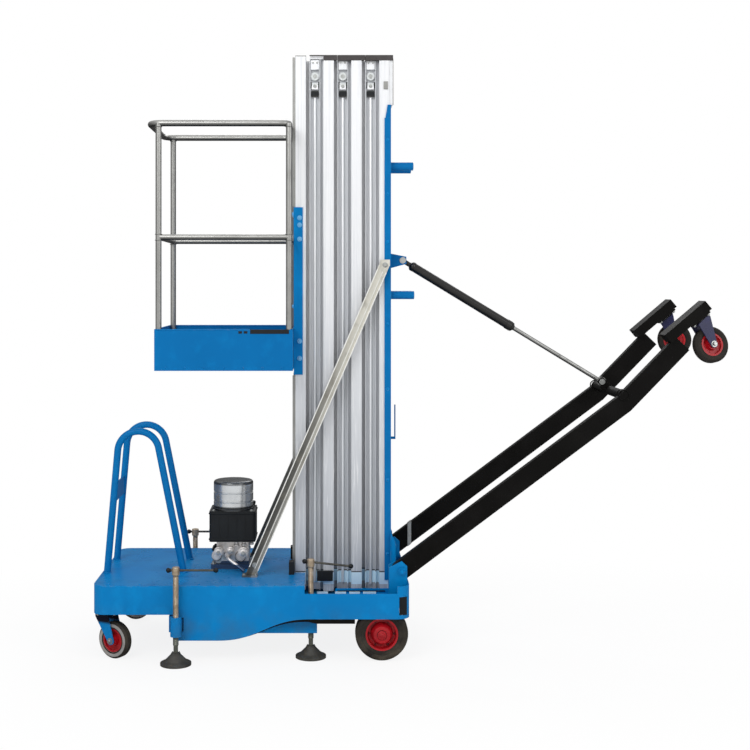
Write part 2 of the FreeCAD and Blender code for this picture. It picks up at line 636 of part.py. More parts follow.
# Front outrigger beams with the nut boss at the outer end
for name, side in SIDES:
    end_y = front_jack_y - NUT_R
    half = BEAM_SIDE / 2
    hollow = half - BEAM_WALL
    beam = side_box(side, FRONT_JACK_X - half, FRONT_JACK_X + half, BEAM_INNER_Y, end_y,
                    BEAM_Z - half, BEAM_Z + half)
    beam = beam.cut(side_box(side, FRONT_JACK_X - hollow, FRONT_JACK_X + hollow, BEAM_INNER_Y,
                             end_y - BEAM_END_PLATE, BEAM_Z - hollow, BEAM_Z + hollow))
    boss = upright(FRONT_JACK_X, side * front_jack_y, BEAM_Z - BOSS_REACH, BEAM_Z + BOSS_REACH, NUT_R)
    gusset = side_box(side, FRONT_JACK_X - GUSSET_HALF, FRONT_JACK_X + GUSSET_HALF, end_y - BEAM_END_PLATE,
                      front_jack_y, BEAM_Z - half, BEAM_Z + half)
    hole = upright(FRONT_JACK_X, side * front_jack_y, 0, DECK_TOP, SCREW_R + PLAY)
    export("outrigger_beam_%s" % name, joined([beam, boss, gusset]).cut(hole))

# Screw jacks: name, X, distance from the middle plane, bar height, how far the bar is slid, its tilt
JACK_COLUMNS = ("name", "x", "off", "bar_z", "slid", "tilt")
JACKS = (
    dict(zip(JACK_COLUMNS, ("front", FRONT_JACK_X, front_jack_y, 412.0, 72.0, 0.0))),
    dict(zip(JACK_COLUMNS, ("rear", REAR_JACK_X, rear_jack_y, 424.0, 76.0, 6.0))),
)
for jack in JACKS:
    x, bar_z = jack["x"], jack["bar_z"]
    for name, side in SIDES:
        y = side * jack["off"]
        shaft = turning(x, y, [
            (0, PAD_HEIGHT - PAD_SOCKET_DEPTH), (SCREW_NECK_R, PAD_HEIGHT - PAD_SOCKET_DEPTH),
            (SCREW_NECK_R, SCREW_NECK_TOP), (SCREW_R, SCREW_NECK_TOP), (SCREW_R, bar_z - HEAD_BELOW),
            (HEAD_R, bar_z - HEAD_BELOW), (HEAD_R, bar_z + HEAD_ABOVE), (0, bar_z + HEAD_ABOVE)])
        start = Vector(x + jack["slid"] - BAR_LENGTH / 2, y, bar_z)
        end = Vector(x + jack["slid"] + BAR_LENGTH / 2, y, bar_z)
        bar = Part.makeCylinder(BAR_R, BAR_LENGTH, start, end - start)
        bar = joined([bar, Part.makeSphere(KNOB_R, start), Part.makeSphere(KNOB_R, end)])
        bar = turned(bar, jack["tilt"], (x, y, bar_z), (0, 1, 0))
        export("jack_screw_%s_%s" % (jack["name"], name), joined([shaft, bar]))
        pad = turning(x, y, [
            (0, 0), (PAD_R, 0), (PAD_R, PAD_RIM), (PAD_R - 2 * PAD_RIM, 2 * PAD_RIM),
            (1.5 * PAD_SOCKET_R, PAD_SLOPE_TOP), (PAD_SOCKET_R, PAD_HEIGHT), (SCREW_NECK_R, PAD_HEIGHT),
            (SCREW_NECK_R, PAD_HEIGHT - PAD_SOCKET_DEPTH), (0, PAD_HEIGHT - PAD_SOCKET_DEPTH)])
        export("jack_pad_%s_%s" % (jack["name"], name), pad)

# Rear wheels on a box axle
rear_y = wheel_y(REAR_WHEEL)
for name, side in SIDES:
    tyre, hub = wheel_parts(REAR_WHEEL, side * rear_y)
    export("rear_tyre_%s" % name, tyre)
    export("rear_hub_%s" % name, hub)
axle_x, axle_z = REAR_WHEEL["x"], REAR_WHEEL["z"]
wheel_inner, wheel_outer = rear_y - REAR_WHEEL["width"] / 2, rear_y + REAR_WHEEL["width"] / 2
axle_end = wheel_inner - AXLE_BOX_GAP
axle = [box(axle_x - AXLE_BOX / 2, axle_x + AXLE_BOX / 2, -axle_end, axle_end,
            axle_z - AXLE_BOX / 2, axle_z + AXLE_BOX / 2)]
for _, side in SIDES:
    hanger_y = axle_end - AXLE_HANGER_IN
    axle.append(side_box(side, axle_x - AXLE_HANGER_HALF, axle_x + AXLE_HANGER_HALF,
                         hanger_y - HANGER_THICK, hanger_y, axle_z, low_deck_bottom))
    cap_y = wheel_outer + 2 * PLAY
    y0, y1 = span(side, axle_end - THROUGH, cap_y)
    axle.append(cross(axle_x, axle_z, y0, y1, REAR_WHEEL["bore_r"]))
    y0, y1 = span(side, cap_y, cap_y + AXLE_CAP_THICK)
    axle.append(cross(axle_x, axle_z, y0, y1, AXLE_CAP_R))
export("rear_axle", joined(axle))

# Front casters
for name, side in SIDES:
    y = side * wheel_y(FRONT_WHEEL)
    swivel_at = (FRONT_WHEEL["x"] + FRONT_WHEEL["trail"], y, 0)
    fork = caster_fork(FRONT_WHEEL, y, front_wheel_top)
    tyre, hub = wheel_parts(FRONT_WHEEL, y)
    for label, shape in (("caster_fork", fork), ("caster_tyre", tyre), ("caster_hub", hub)):
        export("%s_%s" % (label, name), turned(shape, FRONT_SWIVEL_DEG * -side, swivel_at, (0, 0, 1)))

# Push handles: the legs lean towards each other and are tangent to a round arch
handles = []
arch_x, arch_z = HANDLE_ARCH_CENTRE
legs = []
for foot_x in HANDLE_FOOT_X:
    away = Vector(foot_x - arch_x, 0, DECK_TOP - arch_z)
    lean = math.asin(HANDLE_ARCH_R / away.Length)
    turn = lean if foot_x < arch_x else -lean
    way = Vector(-away.x, 0, -away.z).normalize()
    legs.append(Vector(way.x * math.cos(turn) - way.z * math.sin(turn), 0,
                       way.x * math.sin(turn) + way.z * math.cos(turn)))
low_x, high_x = HANDLE_FOOT_X
apex_height = (high_x - low_x) / (legs[0].x / legs[0].z - legs[1].x / legs[1].z)
apex_x = low_x + legs[0].x / legs[0].z * apex_height
under = 2 * HANDLE_R
for _, side in SIDES:
    y = side * HANDLE_Y
    left, right = [(foot_x - leg.x / leg.z * under, y, DECK_TOP - under)
                   for foot_x, leg in zip(HANDLE_FOOT_X, legs)]
    apex = (apex_x, y, DECK_TOP + apex_height)
    handles.append(tube_path([left, apex, right], HANDLE_R, (HANDLE_ARCH_R,)))
handles.append(box(HANDLE_PLATE_X, HANDLE_PLATE_X + HANDLE_PLATE_THICK, -HANDLE_Y, HANDLE_Y,
                   *HANDLE_PLATE_Z))
below_deck = box(BASE_X0, BASE_X1, -BASE_HALF_WIDTH, BASE_HALF_WIDTH, 0, DECK_TOP)
export("push_handles", joined(handles).cut(below_deck))

# Mast foot and the brackets of the arms
foot = []
ear_outline = [(ARM_PIVOT[0] - EAR_BACK, LOW_DECK_TOP), (ARM_PIVOT[0] + EAR_FRONT, LOW_DECK_TOP),
               (ARM_PIVOT[0] + EAR_FRONT, ARM_PIVOT[1] + EAR_TOP / 2),
               (ARM_PIVOT[0], ARM_PIVOT[1] + EAR_TOP),
               (ARM_PIVOT[0] - EAR_BACK, ARM_PIVOT[1] + EAR_SHOULDER)]
gusset_outline = [(GUSSET_X[0], LOW_DECK_TOP), (GUSSET_X[1], LOW_DECK_TOP), (GUSSET_X[1], GUSSET_TOP[1]),
                  (GUSSET_X[0], GUSSET_TOP[0])]
bar_low, bar_high = SECTION_HALF_Y + FOOT_BAR_GAP, SECTION_HALF_Y + FOOT_BAR_GAP + FOOT_BAR_THICK
arm_inner, arm_outer = ARM_Y - ARM_WIDTH / 2, ARM_Y + ARM_WIDTH / 2
for _, side in SIDES:
    foot.append(side_box(side, FOOT_BAR_X0, FOOT_BAR_X1, bar_low, bar_high, LOW_DECK_TOP, FOOT_BAR_TOP))
    for inner in (arm_inner - EAR_GAP - EAR_THICK, arm_outer + EAR_GAP):
        foot.append(plate_xz(ear_outline, *span(side, inner, inner + EAR_THICK)))
    pin_out = EAR_GAP + EAR_THICK + PIVOT_OUT
    foot.append(cross(*ARM_PIVOT, *span(side, arm_inner - pin_out, arm_outer + pin_out), PIVOT_R))
    foot.append(side_box(side, GUSSET_X[1] - TIE_THICK, GUSSET_X[1], bar_high,
                         arm_inner - EAR_GAP - EAR_THICK, LOW_DECK_TOP, TIE_TOP))
    foot.append(plate_xz(gusset_outline, *span(side, bar_low, bar_high)))
export("mast_foot", joined(foot))

# Mast sections with their caps, groove fittings and guide pads
for number in SECTION_X:
    export("mast_section_%d" % number, section_profile(number, section_bottom(number), MAST_TOP))
    last = number == LAST_SECTION
    solids = [section_cap(number, MAST_TOP, MAST_TOP + (LAST_CAP_THICK if last else CAP_THICK))]
    solids += [] if last else section_fittings(number)
    solids += foot_pads(number) if number > 1 else []
    export("section_%d_fittings" % number, Part.makeCompound(solids))

# Lift cylinder: the barrel stands on the low deck, the rod pushes the second section's top
cylinder_x = (SECTION_X[1] + SECTION_X[2]) / 2
cylinder_top = MAST_TOP - CYLINDER_DROP
cylinder_floor = LOW_DECK_TOP + CYLINDER_FLOOR
bore_top = cylinder_top - GLAND
gland_r = LIFT_ROD_R + RUNNING
barrel = turning(cylinder_x, 0, [
    (0, LOW_DECK_TOP), (CYLINDER_R, LOW_DECK_TOP), (CYLINDER_R, cylinder_top), (gland_r, cylinder_top),
    (gland_r, bore_top), (CYLINDER_BORE, bore_top), (CYLINDER_BORE, cylinder_floor), (0, cylinder_floor)])
export("lift_cylinder", barrel)
rod_foot = cylinder_floor + PLAY
piston_r = CYLINDER_BORE - 2 * RUNNING
lug_z = MAST_TOP - LIFT_LUG_HEIGHT
lift_shaft = turning(cylinder_x, 0, [
    (0, rod_foot), (piston_r, rod_foot), (piston_r, rod_foot + PISTON_HEIGHT),
    (LIFT_ROD_R, rod_foot + PISTON_HEIGHT), (LIFT_ROD_R, lug_z), (0, lug_z)])
lift_lug = box(SECTION_X[2] + SECTION_BOX / 2, cylinder_x + LIFT_ROD_R,
               -LIFT_LUG_WIDTH / 2, LIFT_LUG_WIDTH / 2, lug_z, MAST_TOP)
export("lift_rod", joined([lift_shaft, lift_lug]))

# Back plate wrapped round the fixed section, with pegs, damper bracket and strap
back_x = SECTION_X[1] + SECTION_BOX / 2
back_face = back_x + BACK_THICK
back_top, back_step = MAST_TOP - BACK_TOP_DROP, MAST_TOP - BACK_STEP_DROP
channel = [(back_face - BACK_WRAP, SECTION_HALF_Y), (back_face - BACK_WRAP, SECTION_HALF_Y + BACK_THICK),
           (back_face, SECTION_HALF_Y + BACK_THICK), (back_face, -SECTION_HALF_Y - BACK_THICK),
           (back_face - BACK_WRAP, -SECTION_HALF_Y - BACK_THICK), (back_face - BACK_WRAP, -SECTION_HALF_Y),
           (back_x, -SECTION_HALF_Y), (back_x, SECTION_HALF_Y)]
back = [plate_xy(channel, LOW_DECK_TOP + BACK_WRAP_FOOT, back_step)]
back.append(box(back_x, back_face, -SECTION_HALF_Y, SECTION_HALF_Y,
                LOW_DECK_TOP, LOW_DECK_TOP + BACK_WRAP_FOOT))
back.append(box(back_x, back_face, -BACK_NECK_HALF, BACK_NECK_HALF, back_step, back_top))
bracket_z = DAMPER_PIN[1]
nose_x = DAMPER_PIN[0] + BRACKET_NOSE
lug_low = EYE_WIDTH / 2 + LUG_GAP
bracket_outline = [(back_x, bracket_z - BRACKET_LOW), (nose_x, bracket_z - BRACKET_NOSE),
                   (nose_x, bracket_z + BRACKET_NOSE), (back_x, bracket_z + BRACKET_HIGH)]
for _, side in SIDES:
    for drop, reach in PEGS:
        z = MAST_TOP - drop
        back.append(rod((back_x, side * PEG_Y, z), (back_x + reach, side * PEG_Y, z), PEG_R))
    back.append(plate_xz(bracket_outline, *span(side, lug_low, lug_low + BRACKET_THICK)))
pin_reach = lug_low + BRACKET_THICK + PIVOT_OUT
back.append(cross(*DAMPER_PIN, -pin_reach, pin_reach, DAMPER_PIN_R))
strap = [(back_x, STRAP_Z[0]), (back_x + STRAP_OUT + STRAP_SIDE, STRAP_Z[0]),
         (back_x + STRAP_OUT + STRAP_SIDE, STRAP_Z[1]), (back_x + STRAP_OUT, STRAP_Z[1]),
         (back_x + STRAP_OUT, STRAP_Z[0] + STRAP_FOOT), (back_x, STRAP_Z[0] + STRAP_FOOT)]
back.append(plate_xz(strap, STRAP_Y, STRAP_Y + STRAP_SIDE))
export("mast_back_plate", joined(back))

# Struts from the deck to the fixed section
struts = []
web_y = SECTION_HALF_Y + BACK_THICK + STRUT_HEAD_WALL
shoe_x, shoe_y, shoe_z = STRUT_SHOE
for _, side in SIDES:
    foot_at = (STRUT_FOOT_X, side * STRUT_FOOT_Y, DECK_TOP - STRUT_SUNK)
    head_at = (STRUT_HEAD_X, side * web_y, STRUT_HEAD_Z)
    bar = channel_bar(foot_at, head_at, side)
    shoe = side_box(side, STRUT_FOOT_X - shoe_x / 2, STRUT_FOOT_X + shoe_x / 2,
                    STRUT_FOOT_Y - shoe_y / 4, STRUT_FOOT_Y + shoe_y * 3 / 4, DECK_TOP, DECK_TOP + shoe_z)
    head = side_box(side, STRUT_HEAD_X - STRUT_HEAD_BLOCK[0] / 2, STRUT_HEAD_X + STRUT_HEAD_BLOCK[0] / 2,
                    SECTION_HALF_Y + BACK_THICK, web_y + STRUT_WALL,
                    STRUT_HEAD_Z - STRUT_HEAD_BLOCK[1] / 2, STRUT_HEAD_Z + STRUT_HEAD_BLOCK[1] / 2)
    strut = joined([bar, shoe, head])
    struts.append(strut.cut(box(BASE_X0, BASE_X1, -BASE_HALF_WIDTH, BASE_HALF_WIDTH, 0, DECK_TOP)))
export("mast_struts", Part.makeCompound(struts))

# Power pack: a turned motor with two grooves and a rounded top edge, tank, and valve block
motor_z = TANK_BOTTOM + TANK_HEIGHT
motor_top = motor_z + MOTOR_HEIGHT
motor_profile = [(0, motor_z), (MOTOR_R, motor_z)]
for height in MOTOR_GROOVES:
    z = motor_z + height
    motor_profile += [(MOTOR_R, z - MOTOR_GROOVE), (MOTOR_R - MOTOR_GROOVE, z - MOTOR_GROOVE / 2),
                      (MOTOR_R - MOTOR_GROOVE, z + MOTOR_GROOVE / 2), (MOTOR_R, z + MOTOR_GROOVE)]
motor_profile += [(MOTOR_R, motor_top), (0, motor_top)]
motor = turning(PACK_X, PACK_Y, motor_profile)
rim = [e for e in motor.Edges if e.BoundBox.ZMin > motor_top - PLAY and e.BoundBox.XLength > MOTOR_R]
export("pump_motor", motor.makeFillet(MOTOR_SHOULDER, rim))
tank = box(PACK_X - TANK_LENGTH / 2, PACK_X + TANK_LENGTH / 2,
           PACK_Y - TANK_WIDTH / 2, PACK_Y + TANK_WIDTH / 2, TANK_BOTTOM, motor_z)
tank = tank.makeFillet(TANK_CORNER, [e for e in tank.Edges if e.BoundBox.ZLength > TANK_HEIGHT / 2])
export("pump_tank", tank)
valves = [box(PACK_X - MANIFOLD_LENGTH / 2, PACK_X + MANIFOLD_LENGTH / 2,
              PACK_Y - MANIFOLD_WIDTH / 2, PACK_Y + MANIFOLD_WIDTH / 2, DECK_TOP, TANK_BOTTOM)]
valves.append(box(PACK_X - PACK_FOOT[0] / 2, PACK_X + PACK_FOOT[0] / 2,
                  PACK_Y - PACK_FOOT[1] / 2, PACK_Y + PACK_FOOT[1] / 2, DECK_TOP, DECK_TOP + PACK_FOOT[2]))
manifold_face = PACK_Y - MANIFOLD_WIDTH / 2
for coil in SOLENOIDS:
    valves.append(cross(PACK_X + coil["x"], coil["z"], manifold_face - coil["length"], manifold_face,
                        coil["radius"]))
pipe_points = [(PACK_X + x, PACK_Y + y, DECK_TOP + z) for x, y, z in PIPE_RUN]
valves.append(tube_path(pipe_points, PIPE_R, (PIPE_BEND,)))
export("pump_valves", joined(valves))

# Platform carriage: a channel clamped round the last section
plate_x = SECTION_X[LAST_SECTION] - SECTION_BOX / 2
carriage_half = SECTION_HALF_Y + PLAY
outer_half = carriage_half + CARRIAGE_SIDE
carriage = plate_xy([
    (plate_x - CARRIAGE_THICK, -outer_half), (plate_x + CARRIAGE_FLANGE, -outer_half),
    (plate_x + CARRIAGE_FLANGE, -carriage_half), (plate_x, -carriage_half), (plate_x, carriage_half),
    (plate_x + CARRIAGE_FLANGE, carriage_half), (plate_x + CARRIAGE_FLANGE, outer_half),
    (plate_x - CARRIAGE_THICK, outer_half)], *CARRIAGE_Z)
export("platform_carriage", carriage)

# Platform tray: folded toe boards round a floor with a raised tread plate
tray_x1 = TRAY_X0 + TRAY_LENGTH
tray_z1 = TRAY_Z0 + TRAY_HEIGHT
floor_z = TRAY_Z0 + FLOOR_THICK
tray = box(TRAY_X0, tray_x1, -TRAY_HALF, TRAY_HALF, TRAY_Z0, tray_z1)
tray = tray.cut(box(TRAY_X0 + TRAY_SHEET, tray_x1 - TRAY_SHEET,
                    -TRAY_HALF + TRAY_SHEET, TRAY_HALF - TRAY_SHEET, floor_z, tray_z1))
tread = box(TRAY_X0 + MAT_INSET, tray_x1 - MAT_INSET, -TRAY_HALF + MAT_INSET, TRAY_HALF - MAT_INSET,
            floor_z, floor_z + MAT_THICK)
export("platform_tray", joined([tray, tread]))

# Guard rails: a bent top ring, a bent middle rail, corner posts and a tie to the carriage
post_inset = TRAY_SHEET + RAIL_R
post_x0, post_x1 = TRAY_X0 + post_inset, tray_x1 - post_inset
post_y = TRAY_HALF - post_inset
ring_z, mid_z = floor_z + RING_OVER_FLOOR, floor_z + MID_OVER_FLOOR
ring_x0 = TRAY_X0 - RING_OVERHANG
ring_points = [(post_x1, 0, ring_z), (post_x1, -post_y, ring_z), (ring_x0, -post_y, ring_z),
               (ring_x0, post_y, ring_z), (post_x1, post_y, ring_z), (post_x1, 0, ring_z)]
rails = [tube_path(ring_points, RAIL_R, (RING_MAST_CORNER, RING_CORNER, RING_CORNER, RING_MAST_CORNER))]
mid_points = [(post_x1, -post_y, mid_z), (post_x0, -post_y, mid_z), (post_x0, post_y, mid_z),
              (post_x1, post_y, mid_z)]
for first, last in zip(mid_points, mid_points[1:] + mid_points[:1]):
    rails.append(rod(first, last, MID_RAIL_R))
for x in (post_x0, post_x1):
    for _, side in SIDES:
        rails.append(upright(x, side * post_y, floor_z, ring_z, POST_R))
rails.append(box(post_x1, plate_x - CARRIAGE_THICK, -SECTION_HALF_Y, SECTION_HALF_Y,
                 mid_z - RAIL_TIE_HALF, mid_z + RAIL_TIE_HALF))
export("platform_rails", joined(rails))

# Loading arms with the crossbar and the bars that carry the casters
tip_way = Vector(math.cos(math.radians(TIP_ANGLE)), 0, math.sin(math.radians(TIP_ANGLE)))
tip_down = Vector(tip_way.z, 0, -tip_way.x)
middle_line = [ARM_PIVOT, ARM_BEND, ARM_END]
arm_outline = offset_path(middle_line, ARM_DEPTH / 2) + offset_path(middle_line, -ARM_DEPTH / 2)[::-1]
tip_top = Vector(TIP_START[0], 0, TIP_START[1])
tip_under = tip_top + tip_down * TIP_THICK
seat_low = tip_down * CASTER_PLATE_THICK
seat_from = tip_under + tip_way * (TIP_CASTER_STATION - CASTER_PLATE / 2)
seat_to = tip_under + tip_way * (TIP_CASTER_STATION + CASTER_PLATE / 2)
tip_points = [tip_top, tip_top + tip_way * TIP_LENGTH, tip_under + tip_way * TIP_LENGTH, seat_to,
              seat_to + seat_low, seat_from + seat_low, seat_from, tip_under]
arms = []
for _, side in SIDES:
    y0, y1 = span(side, arm_inner, arm_outer)
    bar = plate_xz(arm_outline, y0, y1)
    eye = cross(*ARM_PIVOT, y0, y1, ARM_DEPTH / 2)
    tip = plate_xz([(p.x, p.z) for p in tip_points],
                   *span(side, ARM_Y - TIP_WIDTH / 2, ARM_Y + TIP_WIDTH / 2))
    bore = cross(*ARM_PIVOT, y0 - THROUGH, y1 + THROUGH, PIVOT_R + RUNNING)
    arms.append(joined([bar, eye, tip]).cut(bore))
arms.append(cross(*CROSSBAR, -ARM_Y, ARM_Y, CROSSBAR_R))
eye_at = Vector(DAMPER_EYE[0], 0, DAMPER_EYE[1])
bar_at = Vector(CROSSBAR[0], 0, CROSSBAR[1])
eye_way = (bar_at - eye_at).normalize()
across = Vector(-eye_way.z, 0, eye_way.x)
lug_end = eye_at - eye_way * (2 * DAMPER_PIN_R)
lug_points = [lug_end + across * 2 * DAMPER_PIN_R, bar_at + across * (CROSSBAR_R - 2),
              bar_at - across * (CROSSBAR_R - 2), lug_end - across * 2 * DAMPER_PIN_R]
for _, side in SIDES:
    arms.append(plate_xz([(p.x, p.z) for p in lug_points], *span(side, lug_low, lug_low + LUG_THICK)))
pin_reach = lug_low + LUG_THICK + PIVOT_OUT
arms.append(cross(*DAMPER_EYE, -pin_reach, pin_reach, DAMPER_PIN_R))
export("loading_arms", joined(arms))

# Casters on the arms: drawn upright like the front ones, then laid onto the arm's end
seat_point = tip_under + tip_way * TIP_CASTER_STATION
swivel_x = ARM_WHEEL["x"] + ARM_WHEEL["trail"]
seat_shift = Vector(seat_point.x - swivel_x, 0, seat_point.z - front_wheel_top)
for name, side in SIDES:
    y = side * ARM_Y
    fork = caster_fork(ARM_WHEEL, y, front_wheel_top)
    tyre, hub = wheel_parts(ARM_WHEEL, y)
    for label, shape in (("arm_fork", fork), ("arm_tyre", tyre), ("arm_hub", hub)):
        shape = turned(shape, ARM_SWIVEL_DEG * -side, (swivel_x, y, 0), (0, 0, 1))
        shape.translate(seat_shift)
        shape = turned(shape, -TIP_ANGLE, (seat_point.x, 0, seat_point.z), (0, 1, 0))
        export("%s_%s" % (label, name), shape)

# Damper: a barrel with an eye on the mast bracket, and a rod whose eye hangs loosely on the arms' pin
pin_at = Vector(DAMPER_PIN[0], 0, DAMPER_PIN[1])
damper_way = (eye_at - pin_at).normalize()
barrel_start = pin_at + damper_way * DAMPER_NECK
barrel_end = pin_at + damper_way * DAMPER_LENGTH
barrel = joined([rod(pin_at, barrel_end, DAMPER_NECK_R), rod(barrel_start, barrel_end, DAMPER_R),
                 cross(*DAMPER_PIN, -EYE_WIDTH / 2, EYE_WIDTH / 2, EYE_R)])
bore_start = barrel_start + damper_way * DAMPER_FLOOR
barrel = barrel.cut(rod(bore_start, barrel_end - damper_way * DAMPER_GLAND, DAMPER_BORE))
barrel = barrel.cut(rod(bore_start, barrel_end + damper_way, DAMPER_ROD_R + RUNNING))
barrel = barrel.cut(cross(*DAMPER_PIN, -EYE_WIDTH, EYE_WIDTH, DAMPER_PIN_R + RUNNING))
export("damper_barrel", barrel)
open_eye = cross(*DAMPER_EYE, -EYE_WIDTH / 2, EYE_WIDTH / 2, OPEN_EYE_R)
damper_rod = joined([rod(barrel_end - damper_way * DAMPER_ROD_INSIDE, eye_at, DAMPER_ROD_R), open_eye])
export("damper_rod", damper_rod.cut(cross(*DAMPER_EYE, -EYE_WIDTH, EYE_WIDTH, OPEN_EYE_BORE)))
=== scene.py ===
import json
import math

import bmesh
import bpy
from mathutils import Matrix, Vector


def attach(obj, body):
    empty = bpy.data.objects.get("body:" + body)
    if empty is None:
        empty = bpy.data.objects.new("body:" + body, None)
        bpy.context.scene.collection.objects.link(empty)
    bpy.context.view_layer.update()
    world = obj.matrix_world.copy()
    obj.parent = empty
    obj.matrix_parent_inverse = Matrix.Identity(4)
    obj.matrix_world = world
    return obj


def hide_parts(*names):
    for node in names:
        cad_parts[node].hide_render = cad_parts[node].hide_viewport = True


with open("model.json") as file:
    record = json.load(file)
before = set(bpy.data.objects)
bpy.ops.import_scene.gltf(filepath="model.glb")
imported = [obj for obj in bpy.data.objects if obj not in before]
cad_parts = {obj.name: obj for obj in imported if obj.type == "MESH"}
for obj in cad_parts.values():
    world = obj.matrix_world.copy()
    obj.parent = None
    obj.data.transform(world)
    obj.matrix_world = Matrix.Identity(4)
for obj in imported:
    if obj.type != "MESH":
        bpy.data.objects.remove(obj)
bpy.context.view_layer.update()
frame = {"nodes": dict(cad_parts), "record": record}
nodes = frame["nodes"]
SIDES = (("near", -1), ("far", 1))
UP = (0, 0, 1)

# Places below are in millimetres from the mast's middle, as the part's source has them
ORIGIN_X = 311.4
MM = 0.001


def at(x, y, z):
    """A place in millimetres from the mast's middle, as a point in the shared frame."""
    return Vector(((x - ORIGIN_X) * MM, y * MM, z * MM))


STRUT_FOOT, STRUT_HEAD = (-423.0, 205.0), (196.0, 142.0)
STRUT_LOW, STRUT_HIGH = 332.0, 1762.0
# The struts' slant seen from the side: a unit vector across them, and their middle line along it in metres,
# which bound the painted shade on their back half
STRUT_ACROSS = (0.9177, 0.0, -0.3973)
STRUT_LINE = STRUT_ACROSS[0] * (STRUT_FOOT[0] - ORIGIN_X) * MM + STRUT_ACROSS[2] * STRUT_LOW * MM


# Materials

def linear(r, g, b):
    """An 8-bit screen colour as the linear values that the shader takes."""
    def one(v):
        v /= 255.0
        return v / 12.92 if v <= 0.04045 else ((v + 0.055) / 1.055) ** 2.4
    return (one(r), one(g), one(b), 1.0)


WHITE, BLACK = (1, 1, 1, 1), (0, 0, 0, 1)
NOISE_ROUGH = 0.55
EDGE_RADIUS = 0.0022


class Nodes:
    """A node tree with short ways to add nodes and to join them."""

    def __init__(self, tree):
        self.tree = tree

    def new(self, kind, **values):
        node = self.tree.nodes.new(kind)
        for key, value in values.items():
            setattr(node, key, value)
        return node

    def feed(self, socket, value):
        """Puts a number, a tuple or another node's output into an input."""
        if isinstance(value, (int, float, tuple)):
            socket.default_value = value
        else:
            self.tree.links.new(value, socket)

    def use(self, kind, output, inputs, **values):
        """Adds a node, fills its inputs and gives the output named."""
        node = self.new(kind, **values)
        for key, value in inputs.items():
            self.feed(node.inputs[key], value)
        return node.outputs[output]

    def math(self, operation, *values):
        return self.use("ShaderNodeMath", "Value", dict(enumerate(values)), operation=operation)

    def times(self, first, second):
        return self.math("MULTIPLY", first, second)

    def dot(self, first, second):
        return self.use("ShaderNodeVectorMath", "Value", {0: first, 1: second}, operation="DOT_PRODUCT")

    def part(self, vector, name):
        """X, Y or Z of a vector."""
        return self.use("ShaderNodeSeparateXYZ", name, {"Vector": vector})

    def fade(self, value, start, end, low=0, high=1):
        """Low at start and high at end, straight in between."""
        return self.use("ShaderNodeMapRange", "Result", {
            "Value": value, "From Min": start, "From Max": end, "To Min": low, "To Max": high})

    def between(self, value, low, high, soft):
        """1 from low to high and 0 outside, with soft ends."""
        rise, fall = self.fade(value, low - soft, low + soft), self.fade(value, high + soft, high - soft)
        return self.times(rise, fall)

    def mixed(self, factor, first, second):
        return self.use("ShaderNodeMixShader", "Shader", {"Fac": factor, 1: first, 2: second})


